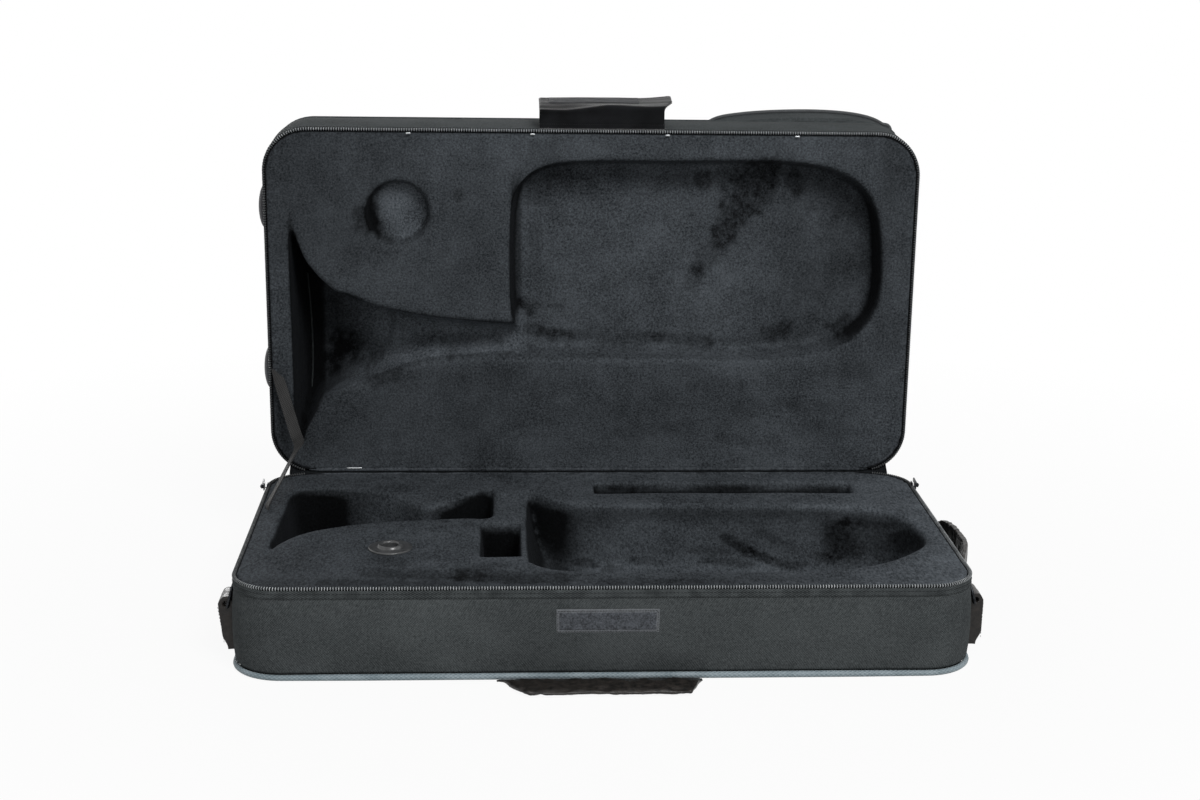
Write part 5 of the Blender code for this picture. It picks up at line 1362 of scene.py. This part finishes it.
GRIP_FACE, GRIP_MIDDLE = 0.3226, 0.0545
grip = softened("end_grip", "end_handle", 0.0012, 3)
creased(grip.data, 0.00050, 0.024, 31, (1.0, 1.2, 0.6))
creased(grip.data, 0.00008, 0.006, 32)
spots = spots_of(grip.data)
forward, backward = -spots[:, 1], spots[:, 1]
spots[:, 0] = GRIP_FACE + (spots[:, 0] - GRIP_FACE) * (1 - 0.66 * step(forward, 0.004, 0.082))
narrow = 0.45 * step(forward, 0.040, 0.084) + 0.35 * step(backward, 0.050, 0.084)
crown = 0.003 * (1 - step(np.abs(spots[:, 1]), 0.020, 0.080))
spots[:, 2] = GRIP_MIDDLE + (spots[:, 2] - GRIP_MIDDLE) * (1 - narrow) + crown
move_spots(grip.data, spots)
for made, node in ((carry, "carry_handle"), (grip, "end_handle")):
    dress(made, leather, node, "leatherette", node)
for node in (
    "end_handle_anchor_front", "end_handle_anchor_rear", "carry_handle_anchor_left", "carry_handle_anchor_right",
):
    dress(softened(node + "_pad", node, 0.0004, 2), leather, "base", "leatherette", node)

# Outer pocket
# A padded nylon bag on the lid's outer face, bound round its edge, with its own zip and pull. It sags a little
# towards its lower end.
POCKET = rounded(shares((
    (170, 300), (166, 600), (172, 900), (196, 978), (250, 1004), (350, 1014), (430, 1006), (476, 980), (493, 930),
    (496, 600), (490, 300), (470, 215), (420, 190), (330, 184), (240, 190), (190, 215),
), 0.0), 12)
pocket_ahead = np.roll(POCKET, -1, axis=0) - np.roll(POCKET, 1, axis=0)
pocket_out = np.column_stack([-pocket_ahead[:, 1], pocket_ahead[:, 0]])
pocket_out = pocket_out / np.linalg.norm(pocket_ahead, axis=1)[:, None]
pocket_middle = POCKET.mean(axis=0)
POCKET_SIDE = tenths((
    (-10, 953), (0, 960), (4, 1020), (8, 1120), (8, 1220), (3, 1310), (4, 1350), (20, 1364), (20, 1375), (-12, 1382),
    (-40, 1386),
))
FACE_IN, FACE_OUT = POCKET_SIDE[-1]
pocket_rows = [stand_up(at_height(POCKET + pocket_out * out, depth)) for out, depth in POCKET_SIDE]
for scale in (0.93, 0.86, 0.76, 0.64, 0.5, 0.36, 0.22, 0.1):
    flat = pocket_middle + (POCKET + pocket_out * FACE_IN - pocket_middle) * scale
    x, y = flat[:, 0], flat[:, 1]
    sag = 0.0024 * np.exp(-(((x - 0.21) / 0.07) ** 2 + ((y - 0.15) / 0.07) ** 2)) * min(1.0, (1 - scale) * 3)
    pocket_rows.append(stand_up(np.column_stack([flat, FACE_OUT + sag + 0.0003 * lumpy(x, y, 0.05, 3)])))
bag = piece("pocket_bag", skin(pocket_rows), nylon, "lid", "nylon", "lid_pocket")

# Bias binding: the tape's own weave, folded over the pocket's edge, darker than the shell.
binding = woven_cloth(
    "bias_binding", (0.0010, 0.0016), 0.25, (0.015,), "#26282a", "#3b3e40", 0.4, 0.0003,
    Roughness=0.7, Sheen_Weight=0.15,
)
bound_edge = stand_up(at_height(POCKET + pocket_out * 0.0021, 0.1370))
bound_edge = tube_skin(bound_edge, 0.0021, 10, True, (0.0, 1.0, 0.0))
piece("pocket_binding", bound_edge, binding, "lid", "zip_tape", "lid_pocket_piping")

ZIP_SECTION = tenths((
    (0, -120), (7, -121), (10, -113), (10, -40), (14, -28), (14, 28), (10, 40), (10, 113), (7, 121), (0, 120),
))
low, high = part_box("lid_pocket_zip")
middle = (low.z + high.z) / 2
zip_rows = [[(x, low.y + dy, middle + dz) for dy, dz in ZIP_SECTION] for x in np.linspace(low.x, high.x, 80)]
piece("pocket_zip_tape", skin(zip_rows), tape, "lid", "zip_tape", "lid_pocket_zip")
zip_line = np.array([(x, low.y + 0.0012, middle) for x in np.linspace(low.x + 0.004, high.x - 0.004, 60)])
strung("pocket_coil", RINGS, [zip_line], (0.0014, 0.0010, 0.00034), coil, "lid")
zip_frame = box_line(low.x + 0.002, high.x - 0.002, middle - 0.0098, middle + 0.0098, low.y + 0.00105)
strung("pocket_zip_stitches", GRAINS, [zip_frame], STITCH, thread, "lid", closed=True)
